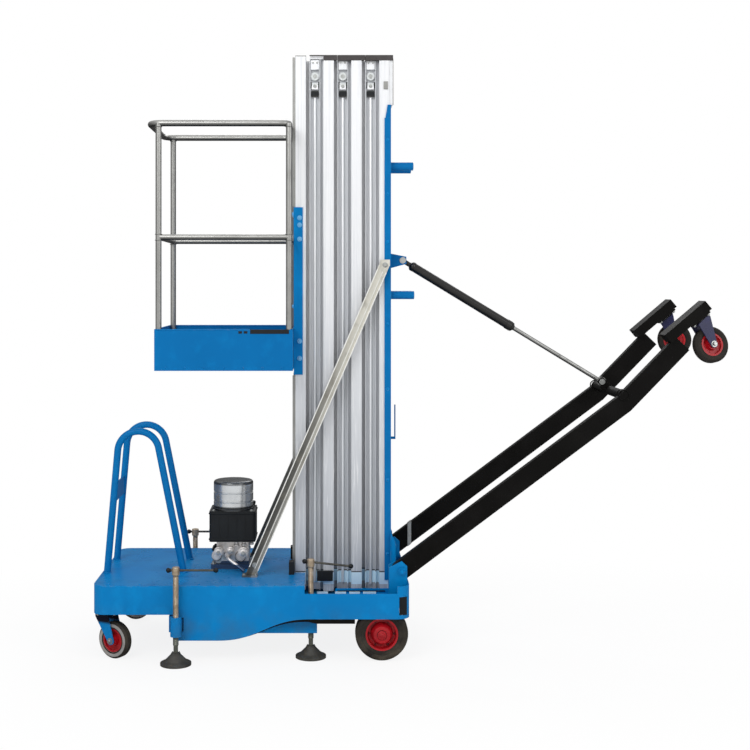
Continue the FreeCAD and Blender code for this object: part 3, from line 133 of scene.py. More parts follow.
class Mat(Nodes):
    """A node material built round one Principled shader, and a slot name that it keeps."""

    def __init__(self, name, rgb, rough, metal=0, coat=0, specular=0.5, slot=None):
        self.slot = slot or name
        self.mat = bpy.data.materials.new(name)
        self.mat.use_nodes = True
        super().__init__(self.mat.node_tree)
        self.shader = self.tree.nodes["Principled BSDF"]
        self.colour = linear(*rgb)
        for key, value in (("Base Color", self.colour), ("Roughness", rough), ("Metallic", metal),
                           ("Coat Weight", coat), ("Specular IOR Level", specular)):
            self.feed(self.shader.inputs[key], value)
        self.coords = self.new("ShaderNodeTexCoord").outputs["Object"]
        self.height = None

    def noise(self, scale, detail=3, stretch=(1, 1, 1)):
        place = self.use("ShaderNodeMapping", "Vector", {"Vector": self.coords, "Scale": stretch})
        return self.use("ShaderNodeTexNoise", "Fac", {
            "Vector": place, "Scale": scale, "Detail": detail, "Roughness": NOISE_ROUGH})

    def ramp(self, value, low, high, start=BLACK, end=WHITE):
        node = self.new("ShaderNodeValToRGB")
        for element, place, colour in zip(node.color_ramp.elements, (low, high), (start, end)):
            element.position = place
            element.color = colour
        self.feed(node.inputs["Fac"], value)
        return node.outputs["Color"]

    def axis(self, name):
        return self.part(self.coords, name)

    def normal(self):
        return self.new("ShaderNodeNewGeometry").outputs["Normal"]

    def band(self, low, high, soft=0.0006):
        """1 between two distances from the middle plane, on both sides of it."""
        return self.between(self.math("ABSOLUTE", self.axis("Y")), low, high, soft)

    def zone(self, low, high, soft=0.0008):
        """1 between two heights in metres and 0 outside them."""
        return self.between(self.axis("Z"), low, high, soft)

    def underside(self, start=-0.15, full=-0.75):
        """1 where the surface faces the floor."""
        return self.fade(self.part(self.normal(), "Z"), start, full)

    def edges(self, low, high):
        """1 where the surface turns sharply, from the difference of a rounded and the true normal."""
        rounded = self.use("ShaderNodeBevel", "Normal", {"Radius": EDGE_RADIUS}, samples=4)
        return self.ramp(self.dot(rounded, self.normal()), low, high, WHITE, BLACK)

    def tint(self, mask, rgb):
        """Lays another colour over the surface where the mask is white."""
        self.colour = self.use("ShaderNodeMix", "Result", {
            "A": self.colour, "B": linear(*rgb), "Factor": mask}, data_type="RGBA")
        self.feed(self.shader.inputs["Base Color"], self.colour)
        return self

    def mottle(self, scale, rgb, low=0.45, high=0.8, stretch=(1, 1, 1)):
        return self.tint(self.ramp(self.noise(scale, 4, stretch), low, high), rgb)

    def dust(self, rgb, top, bottom):
        """Road dust that thins out between two heights over the floor."""
        patches = self.ramp(self.noise(9, 6), 0.42, 0.7)
        return self.tint(self.times(self.fade(self.axis("Z"), top, bottom), patches), rgb)

    def wear(self, rgb, amount=0.5, low=0.52, high=0.6):
        """Rubbed edges where the paint is thin."""
        spots = self.ramp(self.noise(38, 5), low, high)
        return self.tint(self.times(self.times(self.edges(0.80, 0.995), spots), amount), rgb)

    def bump(self, value, strength, distance=0.001):
        inputs = {"Strength": strength, "Distance": distance, "Height": value}
        if self.height is not None:
            inputs["Normal"] = self.height
        self.height = self.use("ShaderNodeBump", "Normal", inputs)
        self.feed(self.shader.inputs["Normal"], self.height)
        return self

    def rough_between(self, scale, low, high, stretch=(1, 1, 1)):
        patches = self.noise(scale, 5, stretch)
        self.feed(self.shader.inputs["Roughness"], self.fade(patches, 0, 1, low, high))
        return self

    def finish(self, grain, detail, depth, scale, low, high):
        """Fine grain as bump, and patches whose roughness goes from low to high."""
        return self.bump(self.noise(grain, detail), depth).rough_between(scale, low, high)


BLUE = (0, 124, 190)
BLUE_DEEP = (0, 110, 174)
BLUE_PALE = (2, 134, 200)
BARE_STEEL = (120, 130, 140)

# Heights in metres at which a look changes
# Painted shade on the mast and its groove fittings, darker from the first height down to the second
MAST_SHADE_FADE = (1.9, 0.35)
MAST_SOCKET, MAST_SOCKET_LIP = (0.279, 0.334), (0.334, 0.339)
GROOVE_ANCHOR, GROOVE_HEAD = (2.530, 2.560), (2.585, 2.648)
MOTOR_CAP, MOTOR_FOOT = (0.727, 0.76), (0.606, 0.626)
VALVE_FOOT = (0.30, 0.371)
CROWN = (0.158, 0.30)


def blue_sheet(name, rgb, deep, pale):
    """Blue paint on sheet steel, with deeper and paler patches."""
    m = Mat(name, rgb, 0.38, specular=0.1, slot="blue_paint")
    m.mottle(2.2, deep, 0.4, 0.72).mottle(16, pale, 0.52, 0.8).wear(BARE_STEEL, 0.6)
    return m.finish(260, 2, 0.06, 7, 0.3, 0.48)


def blue_paint():
    return blue_sheet("blue_paint", BLUE, BLUE_DEEP, BLUE_PALE)


def blue_tray():
    return blue_sheet("blue_tray", (0, 108, 172), (0, 102, 164), (2, 114, 178))


def blue_chassis():
    m = Mat("blue_chassis", BLUE, 0.4, specular=0.1, slot="blue_paint")
    m.mottle(1.8, BLUE_DEEP, 0.4, 0.72).mottle(14, BLUE_PALE, 0.52, 0.8)
    m.dust((60, 96, 124), 0.26, 0.03).wear(BARE_STEEL, 0.7)
    m.bump(m.noise(240, 2), 0.07).bump(m.noise(3, 2), 0.12, 0.004)
    return m.rough_between(6, 0.34, 0.52)


def blue_deck():
    m = Mat("blue_deck", (2, 124, 192), 0.3, specular=0.15, slot="blue_paint")
    m.mottle(2.6, (26, 132, 192), 0.42, 0.7).mottle(11, (6, 108, 172), 0.5, 0.8).wear(BARE_STEEL, 0.7)
    return m.finish(160, 3, 0.06, 8, 0.2, 0.38)


def blue_caster():
    """Blue fork legs under a dark swivel crown."""
    m = Mat("blue_caster", BLUE, 0.4, specular=0.1)
    m.mottle(6, BLUE_DEEP, 0.4, 0.72).tint(m.zone(*CROWN, 0.006), (14, 16, 34)).wear(BARE_STEEL, 0.7)
    return m.finish(240, 2, 0.07, 6, 0.34, 0.52)


def blue_light():
    m = Mat("blue_light", (112, 178, 222), 0.42, specular=0.2, slot="blue_paint")
    m.mottle(18, (150, 200, 230), 0.45, 0.75)
    return m.finish(240, 2, 0.07, 9, 0.34, 0.5)


def foot_white():
    m = Mat("foot_white", (214, 240, 252), 0.4, specular=0.3, slot="blue_paint").mottle(16, (186, 222, 242))
    return m.finish(200, 2, 0.06, 9, 0.32, 0.5)


def mast_aluminium():
    """Drawn aluminium, brighter towards the top as painted shade darkens it lower down, with painted shade
    greying the grooves and a pale band at the foot.
    """
    m = Mat("mast_aluminium", (232, 233, 235), 0.34, metal=0.2, specular=0.5)
    # Painted shade: darker towards the bottom
    m.tint(m.fade(m.axis("Z"), *MAST_SHADE_FADE), (178, 182, 188))
    m.mottle(3, (206, 209, 213), 0.42, 0.9, (40, 40, 0.6))
    m.mottle(24, (238, 239, 240), 0.55, 0.8, (12, 12, 0.3))
    # Painted shade: grey in the grooves' recesses
    m.tint(m.times(m.band(0.0895, 0.118), 0.55), (166, 170, 176))
    m.tint(m.zone(*MAST_SOCKET), (214, 240, 252)).tint(m.zone(*MAST_SOCKET_LIP), (58, 60, 64))
    return m.bump(m.noise(60, 3, (30, 30, 0.4)), 0.05).rough_between(18, 0.26, 0.44, (14, 14, 0.4))


def groove_metal():
    """Fittings in the grooves: bright bars and blocks, with a black anchor under them, darker towards the
    bottom and along their edges as painted shade.
    """
    m = Mat("groove_metal", (236, 237, 239), 0.3, metal=0.35)
    m.mottle(20, (222, 225, 228), 0.4, 0.75, (10, 10, 0.5))
    # Painted shade towards the bottom, then the black anchor
    m.tint(m.fade(m.axis("Z"), *MAST_SHADE_FADE), (204, 208, 212)).tint(m.zone(*GROOVE_ANCHOR), (30, 29, 29))
    # Painted shade: dark along the fittings' edges
    m.tint(m.zone(*GROOVE_HEAD), (206, 210, 210)).tint(m.edges(0.6, 0.95), (112, 112, 112))
    return m.finish(80, 3, 0.06, 20, 0.24, 0.42)


def cap_dark():
    m = Mat("cap_dark", (62, 58, 58), 0.5, specular=0.3, slot="dark_metal").mottle(12, (84, 80, 80))
    return m.finish(200, 3, 0.1, 14, 0.42, 0.6)


def tube_steel():
    m = Mat("tube_steel", (158, 158, 155), 0.34, metal=0.8)
    m.mottle(9, (134, 134, 131), 0.45, 0.85).mottle(40, (172, 172, 169), 0.6, 0.9)
    # Painted shade: darker on faces turned towards the floor
    m.tint(m.underside(0.1, -0.7), (70, 70, 68))
    return m.finish(180, 2, 0.015, 12, 0.28, 0.42)


def strut_steel():
    """Plated strut channel, darker towards the bottom, with painted shade along its back half where it nears
    the deck.
    """
    m = Mat("strut_steel", (214, 212, 202), 0.34, metal=0.5)
    m.tint(m.fade(m.axis("Z"), 1.35, 0.6), (150, 150, 146))
    # Painted shade over the channel's back half, strongest low down
    across = m.fade(m.dot(m.coords, STRUT_ACROSS), STRUT_LINE + 0.004, STRUT_LINE + 0.001)
    shaded_back_half = m.times(across, m.fade(m.axis("Z"), 1.5, 0.9))
    m.tint(m.times(shaded_back_half, 0.8), (52, 52, 49)).mottle(12, (128, 124, 114), 0.5, 0.85)
    return m.finish(160, 3, 0.08, 10, 0.26, 0.48)


# A brighter steel for the struts' strips: painted highlight lines along the channels
def strip_steel():
    m = Mat("strip_steel", (232, 232, 228), 0.36, metal=0.3, slot="bright_steel")
    m.mottle(22, (206, 205, 198))
    return m.finish(160, 3, 0.06, 14, 0.28, 0.46)


def bright_steel():
    m = Mat("bright_steel", (214, 214, 214), 0.16, metal=1).mottle(30, (190, 190, 190), 0.5, 0.8)
    return m.finish(220, 2, 0.04, 25, 0.12, 0.26)


def zinc():
    m = Mat("zinc_fastener", (172, 174, 172), 0.34, metal=0.85, slot="bright_steel")
    m.mottle(60, (140, 142, 138))
    return m.finish(300, 3, 0.08, 50, 0.26, 0.46)


def screw_steel():
    """Greased screws, reddish above and grey near the pads."""
    m = Mat("screw_steel", (176, 160, 138), 0.42, metal=0.6)
    m.mottle(26, (118, 98, 74)).mottle(70, (204, 192, 182), 0.55, 0.85)
    m.tint(m.fade(m.axis("Z"), 0.2, 0.12), (112, 114, 104))
    return m.finish(140, 4, 0.12, 30, 0.3, 0.55)


def rod_steel():
    m = Mat("rod_steel", (150, 150, 148), 0.3, metal=0.85)
    # Painted shade: darker on faces turned towards the floor
    m.mottle(30, (120, 120, 118)).tint(m.underside(), (40, 40, 40))
    return m.finish(220, 2, 0.04, 25, 0.22, 0.38)


def black_gloss():
    m = Mat("black_gloss", (14, 13, 12), 0.3, specular=0.4, slot="black_paint").mottle(10, (28, 27, 25))
    return m.finish(120, 3, 0.08, 9, 0.18, 0.36)


def black_paint():
    m = Mat("black_paint", (10, 9, 8), 0.55, specular=0.07)
    m.mottle(8, (19, 18, 17)).wear((86, 82, 76), 0.6, 0.54, 0.62)
    return m.finish(220, 3, 0.08, 9, 0.4, 0.6)


def navy_black():
    m = Mat("navy_black", (20, 22, 62), 0.36, specular=0.35)
    m.mottle(10, (34, 36, 92)).wear((110, 112, 120), 0.7, 0.5, 0.62)
    return m.finish(220, 3, 0.08, 9, 0.34, 0.52)


def pad_iron():
    m = Mat("pad_iron", (74, 73, 68), 0.62, metal=0.25, slot="dark_metal")
    m.mottle(20, (52, 50, 46), 0.4, 0.75).mottle(50, (104, 92, 72), 0.6, 0.85)
    return m.finish(110, 5, 0.3, 20, 0.5, 0.75)


def black_plastic():
    m = Mat("black_plastic", (15, 18, 21), 0.5, specular=0.25).mottle(12, (23, 27, 30))
    return m.finish(340, 3, 0.12, 16, 0.42, 0.6)


def motor_casting():
    m = Mat("motor_casting", (214, 217, 219), 0.26, metal=0.95)
    m.mottle(16, (190, 193, 195), 0.5, 0.85).tint(m.zone(*MOTOR_CAP, 0.003), (96, 98, 100))
    m.tint(m.zone(*MOTOR_FOOT, 0.003), (70, 72, 74))
    return m.finish(190, 4, 0.05, 18, 0.2, 0.36)


def valve_metal():
    m = Mat("valve_metal", (216, 212, 210), 0.34, metal=0.5)
    # Painted shade: darker on faces turned towards the floor
    m.mottle(24, (160, 156, 154), 0.45, 0.78).tint(m.underside(), (40, 42, 46))
    m.tint(m.edges(0.7, 0.97), (84, 84, 84)).tint(m.zone(*VALVE_FOOT), (46, 66, 94))
    return m.finish(150, 4, 0.12, 22, 0.26, 0.46)


def tyre_black():
    m = Mat("tyre_black", (28, 25, 22), 0.74, specular=0.3, slot="black_tyre")
    m.mottle(14, (42, 37, 31), 0.45, 0.75).dust((92, 85, 72), 0.22, 0)
    return m.finish(210, 4, 0.2, 18, 0.68, 0.88)


def tyre_grey():
    m = Mat("tyre_grey", (150, 148, 146), 0.66)
    m.mottle(16, (124, 122, 119), 0.45, 0.75).dust((146, 138, 124), 0.17, 0)
    return m.finish(210, 4, 0.15, 18, 0.55, 0.78)


# A darker copy of the hub's red for the rear wheel bolts: painted shade
def red_shade():
    m = Mat("red_shade", (92, 10, 18), 0.45, specular=0.3, slot="red_hub")
    m.mottle(14, (64, 8, 14), 0.42, 0.75)
    return m.finish(230, 3, 0.08, 12, 0.36, 0.55)


def red_hub():
    m = Mat("red_hub", (172, 14, 26), 0.36, coat=0.1, specular=0.3)
    m.mottle(12, (132, 10, 20), 0.42, 0.75).wear((110, 90, 84), 0.5)
    return m.finish(230, 3, 0.08, 12, 0.3, 0.5)


blue = blue_paint()
blue_low = blue_chassis()
tray_blue = blue_tray()
deck_blue = blue_deck()
caster_blue = blue_caster()
pale_blue = blue_light()
foot_pale = foot_white()
mast = mast_aluminium()
groove = groove_metal()
cap_metal = cap_dark()
tube = tube_steel()
strut_metal = strut_steel()
strip_metal = strip_steel()
chrome = bright_steel()
fastener = zinc()
screw = screw_steel()
black = black_paint()
rod_metal = rod_steel()
barrel_black = black_gloss()
navy = navy_black()
iron = pad_iron()
plastic = black_plastic()
casting = motor_casting()
valve = valve_metal()
rubber = tyre_black()
rubber_grey = tyre_grey()
red = red_hub()
red_dark = red_shade()

SLOT_MATS = {
    "blue_paint": blue, "black_paint": black, "dark_metal": iron, "mast_aluminium": mast,
    "bright_steel": chrome, "tube_steel": tube, "screw_steel": screw, "motor_casting": casting,
    "valve_metal": valve, "black_plastic": plastic, "black_tyre": rubber, "grey_tyre": rubber_grey,
    "red_hub": red,
}
OWN_MATS = {
    "base_frame": blue_low, "base_floor": blue_low, "base_deck": deck_blue, "jack_housings": blue_low,
    "mast_struts": strut_metal, "section_1_fittings": groove, "section_2_fittings": groove,
    "section_3_fittings": groove, "section_4_fittings": mast, "rear_axle": black,
    "platform_tray": tray_blue, "push_handles": tray_blue, "mast_back_plate": tray_blue,
    "damper_rod": rod_metal, "damper_barrel": barrel_black,
}
for name, _ in SIDES:
    OWN_MATS["outrigger_beam_" + name] = blue_low
    OWN_MATS["arm_fork_" + name] = navy
    OWN_MATS["caster_fork_" + name] = caster_blue


def dress_nodes():
    slot_of = {part["node"]: part["material_slot"] for part in frame["record"]["subparts"]}
    for name, obj in nodes.items():
        chosen = OWN_MATS.get(name) or SLOT_MATS[slot_of[name]]
        obj.data.materials.clear()
        obj.data.materials.append(chosen.mat)


dress_nodes()


# Mesh building

def turns(count, first=0):
    """Cosine and sine of equal steps round a circle, from a first step that may be a fraction."""
    for i in range(count):
        turn = 2 * math.pi * (i + first) / count
        yield math.cos(turn), math.sin(turn)


def collar(inner, outer, height):
    """The closed profile of a plain ring."""
    return [(inner, 0), (outer, 0), (outer, height), (inner, height), (inner, 0)]


class Piece:
    """Gathers the faces of one named piece; places are points in metres, sizes are in millimetres."""

    def __init__(self):
        self.bm = bmesh.new()

    def circle(self, centre, u, v, radius, segments):
        """New points in a ring, with u and v as its unit vectors."""
        return [self.bm.verts.new(centre + (u * c + v * s) * (radius * MM)) for c, s in turns(segments)]

    def lathe(self, start, way, profile, segments=32):
        """Turns (radius, height) pairs about the line from start along way."""
        way = Vector(way).normalized()
        u = way.orthogonal().normalized()
        v = way.cross(u)
        rings = []
        for radius, height in profile:
            centre = start + way * (height * MM)
            rings.append(self.circle(centre, u, v, radius, segments if radius else 1))
        for low, high in zip(rings, rings[1:]):
            for i in range(segments):
                j = (i + 1) % segments
                if len(low) == 1:
                    self.bm.faces.new((low[0], high[i], high[j]))
                elif len(high) == 1:
                    self.bm.faces.new((low[j], low[i], high[0]))
                else:
                    self.bm.faces.new((low[i], low[j], high[j], high[i]))
        return self

    def prism(self, corners, reach):
        """A flat outline of points pushed along a vector."""
        low = [self.bm.verts.new(p) for p in corners]
        high = [self.bm.verts.new(p + reach) for p in corners]
        count = len(corners)
        self.bm.faces.new(low)
        self.bm.faces.new(high[::-1])
        for i in range(count):
            j = (i + 1) % count
            self.bm.faces.new((low[i], high[i], high[j], low[j]))
        return self

    def block(self, x0, x1, y0, y1, z0, z1):
        corners = [at(x0, y0, z0), at(x1, y0, z0), at(x1, y1, z0), at(x0, y1, z0)]
        return self.prism(corners, Vector((0, 0, (z1 - z0) * MM)))

    def blocks(self, x0, x1, low, high, z0, z1):
        """A block on each side of the middle plane."""
        return self.block(x0, x1, -high, -low, z0, z1).block(x0, x1, low, high, z0, z1)

    def rivet(self, place, way, across):
        """A domed head without a washer."""
        return self.bolt(place, way, across, washer=False, dome=True)

    def bolt(self, place, way, across, washer=True, dome=False):
        """A hexagon bolt head, or a domed one, on its washer."""
        way = Vector(way).normalized()
        base = 0
        if washer:
            base = across * 0.14
            self.lathe(place, way, [(0, 0), (across * 0.95, 0), (across * 0.95, base), (0, base)], 20)
        if dome:
            self.lathe(place, way, [(0, base), (across * 0.72, base), (across * 0.68, base + across * 0.2),
                                    (across * 0.42, base + across * 0.38), (0, base + across * 0.44)], 20)
            return self
        top = base + across * 0.6
        self.lathe(place, way, [(0, base), (across * 0.577, base), (across * 0.577, top - across * 0.08),
                                (across * 0.5, top), (0, top)], 6)
        return self

    def run(self, points, radius, segments=16, closed=False):
        """A round bar along points, turned smoothly from one to the next."""
        count = len(points)
        rings = []
        u = None
        for i, point in enumerate(points):
            before = points[i - 1] if i or closed else point
            after = points[(i + 1) % count] if i < count - 1 or closed else point
            way = (after - before).normalized()
            u = way.orthogonal().normalized() if u is None else (u - way * u.dot(way)).normalized()
            rings.append(self.circle(point, u, way.cross(u), radius, segments))
        pairs = list(zip(rings, rings[1:])) + ([(rings[-1], rings[0])] if closed else [])
        for low, high in pairs:
            for k in range(segments):
                j = (k + 1) % segments
                self.bm.faces.new((low[k], low[j], high[j], high[k]))
        if not closed:
            self.bm.faces.new(rings[0][::-1])
            self.bm.faces.new(rings[-1])
        return self

    def bead(self, centre, way, radius, thick):
        """A weld bead in a ring round a line."""
        way = Vector(way).normalized()
        u = way.orthogonal().normalized()
        v = way.cross(u)
        steps, ripples, ripple = 48, 16, 0.012
        points = []
        for i, (c, s) in enumerate(turns(steps)):
            wave = 1 + ripple * math.sin(2 * math.pi * i * ripples / steps)
            points.append(centre + (u * c + v * s) * (radius * wave * MM))
        return self.run(points, thick, 8, closed=True)

    def seam(self, start, end, thick):
        """A straight weld bead with the ripple of its passes."""
        pass_length, ripple = 4, 0.25
        steps = max(6, int((end - start).length / (pass_length * MM)))
        points = [start.lerp(end, i / steps) for i in range(steps + 1)]
        side = (end - start).orthogonal().normalized()
        points = [p + side * (ripple * MM * (1 if i % 2 else -1)) for i, p in enumerate(points)]
        return self.run(points, thick, 8)

    def out(self, name, body, material, bevel=0, sharp=32, slot=None):
        """Makes the object, with edges sharper than an angle kept and others smooth."""
        slot = slot or material.slot
        bmesh.ops.recalc_face_normals(self.bm, faces=self.bm.faces)
        mesh = bpy.data.meshes.new(name)
        for face in self.bm.faces:
            face.smooth = True
        for edge in self.bm.edges:
            if len(edge.link_faces) == 2 and edge.calc_face_angle(0) > math.radians(sharp):
                edge.smooth = False
        self.bm.to_mesh(mesh)
        self.bm.free()
        obj = bpy.data.objects.new(name, mesh)
        bpy.context.scene.collection.objects.link(obj)
        mesh.materials.append(material.mat)
        if bevel:
            modifier = obj.modifiers.new("round", "BEVEL")
            modifier.width = bevel * MM
            modifier.segments = 2
            modifier.limit_method = "ANGLE"
            modifier.angle_limit = math.radians(40)
        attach(obj, body)
        return obj


# Mast

MAST_TOP = 2706
SECTION_X = {1: 193.5, 2: 64.5, 3: -64.5, 4: -193.5}
SECTION_BODY = {1: "chassis", 2: "section_2", 3: "section_3", 4: "section_4"}
LAST_FOOT = 253
SECTION_HALF = 24
GROOVED = (1, 2, 3)
CAP_TOP = 2720
LAST_CAP_TOP = 2716
CHANNEL_REACH = 64
GROOVE_MIDDLE = 39
GROOVE_FLOOR, GROOVE_FACE = 91, 110
LIP_OUT, LIP_DROP, LIP_GAP, LIP_THICK = 16, 9, 0.3, 2
LIP_INNER, LIP_OUTER = 130.3, 131.8
LIP_OVER_CHANNEL, LIP_OVER_LAST, LAST_LIP_DEEP = 112.4, 126, 3
CARRIAGE_SPAN = (1240, 2025)
RIB_SPANS = ((LAST_FOOT, CARRIAGE_SPAN[0]), (CARRIAGE_SPAN[1], LAST_CAP_TOP))
FLANGE_LOW, CATCH_SPAN = 2492.5, (2564, 2600)

# Profiles are pairs of radius and height
PULLEY_PIN = [(0, 0), (5.6, 0), (5.6, 15.5), (9.5, 15.5), (9.5, 17.2), (5, 17.2), (4.4, 18.6), (0, 18.6)]
ANCHOR_STUD = [(0, 0), (4.5, 0), (4.5, 26), (8, 26), (8, 33), (4.5, 33), (4.5, 44), (0, 44)]
# Drops from the mast's top, and the heights that the groove's dark blocks span
BLOCK_BOLTS, PULLEY_LINE, KEEPER_BOLT, STUD_FOOT = 17, 79, 125, 190
KEEPER_SPAN, ANCHOR_SPAN = (MAST_TOP - 132, MAST_TOP - 106), (MAST_TOP - 168, MAST_TOP - 150)


def cap_lips():
    """Dark lips over the first three sections' caps, a skirt down their sides and a lap towards the arms."""
    top, skirt = CAP_TOP + LIP_THICK, MAST_TOP - LIP_DROP
    for number in GROOVED:
        piece = Piece()
        left, right = SECTION_X[number] - SECTION_HALF, SECTION_X[number] + SECTION_HALF + LIP_OUT
        last = number == GROOVED[-1]
        inner, low = (LIP_OVER_LAST, CAP_TOP - LAST_LIP_DEEP) if last else (LIP_OVER_CHANNEL, skirt)
        piece.block(left, right, -LIP_OUTER, LIP_OUTER, CAP_TOP + LIP_GAP, top)
        piece.blocks(left, right, LIP_INNER, LIP_OUTER, skirt, CAP_TOP + LIP_GAP)
        piece.blocks(left - CHANNEL_REACH, left, inner, LIP_OUTER, low, top)
        piece.out("cap_lip_%d" % number, SECTION_BODY[number], cap_metal, bevel=0.5)


def last_section_ribs():
    """The last section's steel cap plate, and thin ribs on its platform side over and under the carriage."""
    piece = Piece()
    left, right = SECTION_X[4] - SECTION_HALF, SECTION_X[4] + SECTION_HALF
    piece.block(left - 1, right + 1, -131, 131, LAST_CAP_TOP - 0.2, CAP_TOP)
    for low, high in RIB_SPANS:
        piece.blocks(left - 14, left + 0.5, 96, 104, low, high)
    piece.out("last_section_ribs", "section_4", tube, slot="mast_aluminium")


def fixed_section_flange():
    """A pale flange behind the fixed section's head, over the back plate, with grey edges and catches."""
    flange, catch = Piece(), Piece()
    back = SECTION_X[1] + SECTION_HALF
    flange.block(back + 0.3, back + 14.5, -124, 124, FLANGE_LOW, MAST_TOP)
    catch.blocks(back - 28, back - 8, 129.8, 135, *CATCH_SPAN)
    catch.blocks(back + 14, back + 18, 116, 124, FLANGE_LOW, MAST_TOP)
    flange.out("fixed_section_flange", "chassis", mast, bevel=1)
    catch.out("fixed_section_catches", "chassis", tube, slot="dark_metal", bevel=1)


def groove_fasteners():
    """Bolts on the head blocks and keepers, the pulley pins with their washers, and the anchors' studs."""
    for number in GROOVED:
        heads, dark = Piece(), Piece()
        x = SECTION_X[number] - SECTION_HALF - GROOVE_MIDDLE
        for _, side in SIDES:
            out = (0, side, 0)
            for dx in (-10, 10):
                heads.bolt(at(x + dx, side * GROOVE_FACE, MAST_TOP - BLOCK_BOLTS), out, 8, washer=False)
            heads.bolt(at(x, side * GROOVE_FACE, MAST_TOP - KEEPER_BOLT), out, 9)
            heads.lathe(at(x, side * (GROOVE_FLOOR - 1), MAST_TOP - PULLEY_LINE), out, PULLEY_PIN, 24)
            heads.lathe(at(x, side * 98, MAST_TOP - STUD_FOOT), UP, ANCHOR_STUD, 16)
        for dx in (-21, 15):
            dark.blocks(x + dx, x + dx + 6, GROOVE_FLOOR + 6, GROOVE_FACE, *KEEPER_SPAN)
        dark.blocks(x - 18, x + 18, GROOVE_FLOOR + 1, GROOVE_FACE + 0.8, *ANCHOR_SPAN)
        heads.out("groove_bolts_%d" % number, SECTION_BODY[number], fastener)
        dark.out("groove_dark_%d" % number, SECTION_BODY[number], plastic, bevel=0.6)


def mast_cap_screws():
    """Domed screws on the sections' caps."""
    for number in SECTION_X:
        piece = Piece()
        top = CAP_TOP + (LIP_THICK if number in GROOVED else 0)
        for y in (-105, 0, 105):
            piece.rivet(at(SECTION_X[number], y, top), UP, 9)
        piece.out("cap_screws_%d" % number, SECTION_BODY[number], fastener)


def mast_foot_details():
    """Black buffer blocks at the mast's foot, the pale strips beside it, the sockets' black liners, and a
    dark block as painted shade in each rear corner opening of the chassis.
    """
    dark, pads = Piece(), Piece()
    dark.block(-118, -45, -150, -137.2, 297, 344)
    dark.blocks(-246.5, -222, 150, 196, 330, 395)
    dark.blocks(-24, 196, 147, 150.5, 249, 254)
    # Painted shade: a dark block filling each rear corner opening
    dark.blocks(246, 279, 396, 404, 206, 284)
    for low, high in ((-118, -67), (-35, 16), (30, 80), (94, 154)):
        pads.blocks(low, high, 147, 152, 226, 249)
    dark.out("foot_buffers_and_corner_shade", "chassis", plastic, bevel=1.5)
    pads.out("foot_strips", "chassis", foot_pale, bevel=1)


NECK = (2431.3, 2492)
BACK_NECK_FOLD = ((198, NECK[0]), (223.5, NECK[0]), (223.5, NECK[1]), (208, NECK[1]), (205, 2478))
FOLD_INNER, FOLD_THICK = 130.3, 5.7
# The pegs' heights and the places of their ends along X
PEGS = ((2212, 328.5), (1613, 332.5))
PEG_Y = 80


def back_plate_details():
    """Rows of bolts through the back plate's folds, caps on the pegs, and welds round the pegs."""
    bolts, caps, welds, fold = Piece(), Piece(), Piece(), Piece()
    for _, side in SIDES:
        for z in (420, 760, 1180, 1480, 1860, 2080, 2330):
            bolts.bolt(at(208, side * 136, z), (0, side, 0), 9, dome=True)
        for z, reach in PEGS:
            caps.lathe(at(reach - 0.3, side * PEG_Y, z), (1, 0, 0),
                       [(0, 0), (17.4, 0), (17.4, 1.6), (13.5, 2.4), (12.8, 1), (0, 1)], 32)
            welds.bead(at(224.5, side * PEG_Y, z), (1, 0, 0), 20, 2.6)
        fold.prism([at(x, side * FOLD_INNER, z) for x, z in BACK_NECK_FOLD],
                   Vector((0, side * FOLD_THICK * MM, 0)))
    fold.blocks(217.8, 223.5, 92, FOLD_INNER, *NECK)
    bolts.out("back_plate_bolts", "chassis", blue)
    fold.out("back_plate_neck_fold", "chassis", tray_blue)
    caps.out("peg_caps", "chassis", pale_blue)
    welds.out("peg_welds", "chassis", blue)


# Platform

def carriage_bolts():
    """Painted bolts where the carriage clamps the last section, on its folds and its front face."""
    piece = Piece()
    for _, side in SIDES:
        for z in (1970, 1937, 1872, 1401, 1322):
            piece.bolt(at(-198, side * 136.5, z), (0, side, 0), 12)
        for z in (1990, 1880, 1560, 1330):
            piece.bolt(at(-225.5, side * 96, z), (-1, 0, 0), 13)
    piece.out("carriage_bolts", "section_4", pale_blue)


TREAD_X, TREAD_Y, TREAD_TOP = -795, -255, 1284
TREAD_STEP, TREAD_ROWS = 31, 17


def tread_pattern():
    """Raised lozenges over the floor plate, turned a quarter from one to the next."""
    piece = Piece()
    long, wide, high, ridge = 11, 3.2, 1.3, 4.95
    for row in range(TREAD_ROWS):
        for column in range(TREAD_ROWS):
            turn = math.radians(45 if (row + column) % 2 else -45)
            way = Vector((math.cos(turn), math.sin(turn), 0))
            side = Vector((-way.y, way.x, 0))
            centre = at(TREAD_X + row * TREAD_STEP, TREAD_Y + column * TREAD_STEP, TREAD_TOP - 0.1)
            a, b, c, d = (piece.bm.verts.new(centre + p * MM) for p in
                          (way * long, side * wide, way * -long, side * -wide))
            e, f = (piece.bm.verts.new(centre + (way * reach + Vector((0, 0, high))) * MM)
                    for reach in (ridge, -ridge))
            for face in ((a, b, f, e), (b, c, f), (c, d, e, f), (d, a, e), (d, c, b, a)):
                piece.bm.faces.new(face)
    piece.out("floor_tread", "section_4", deck_blue)


# The tray's ends along X, its half width, and its bottom and rim
TRAY = (-847, -226, 310, 1275, 1459)
POST_INSET = 17.5
RAIL_TOP, RAIL_MIDDLE, TRAY_FLOOR = 2387, 1875, 1281


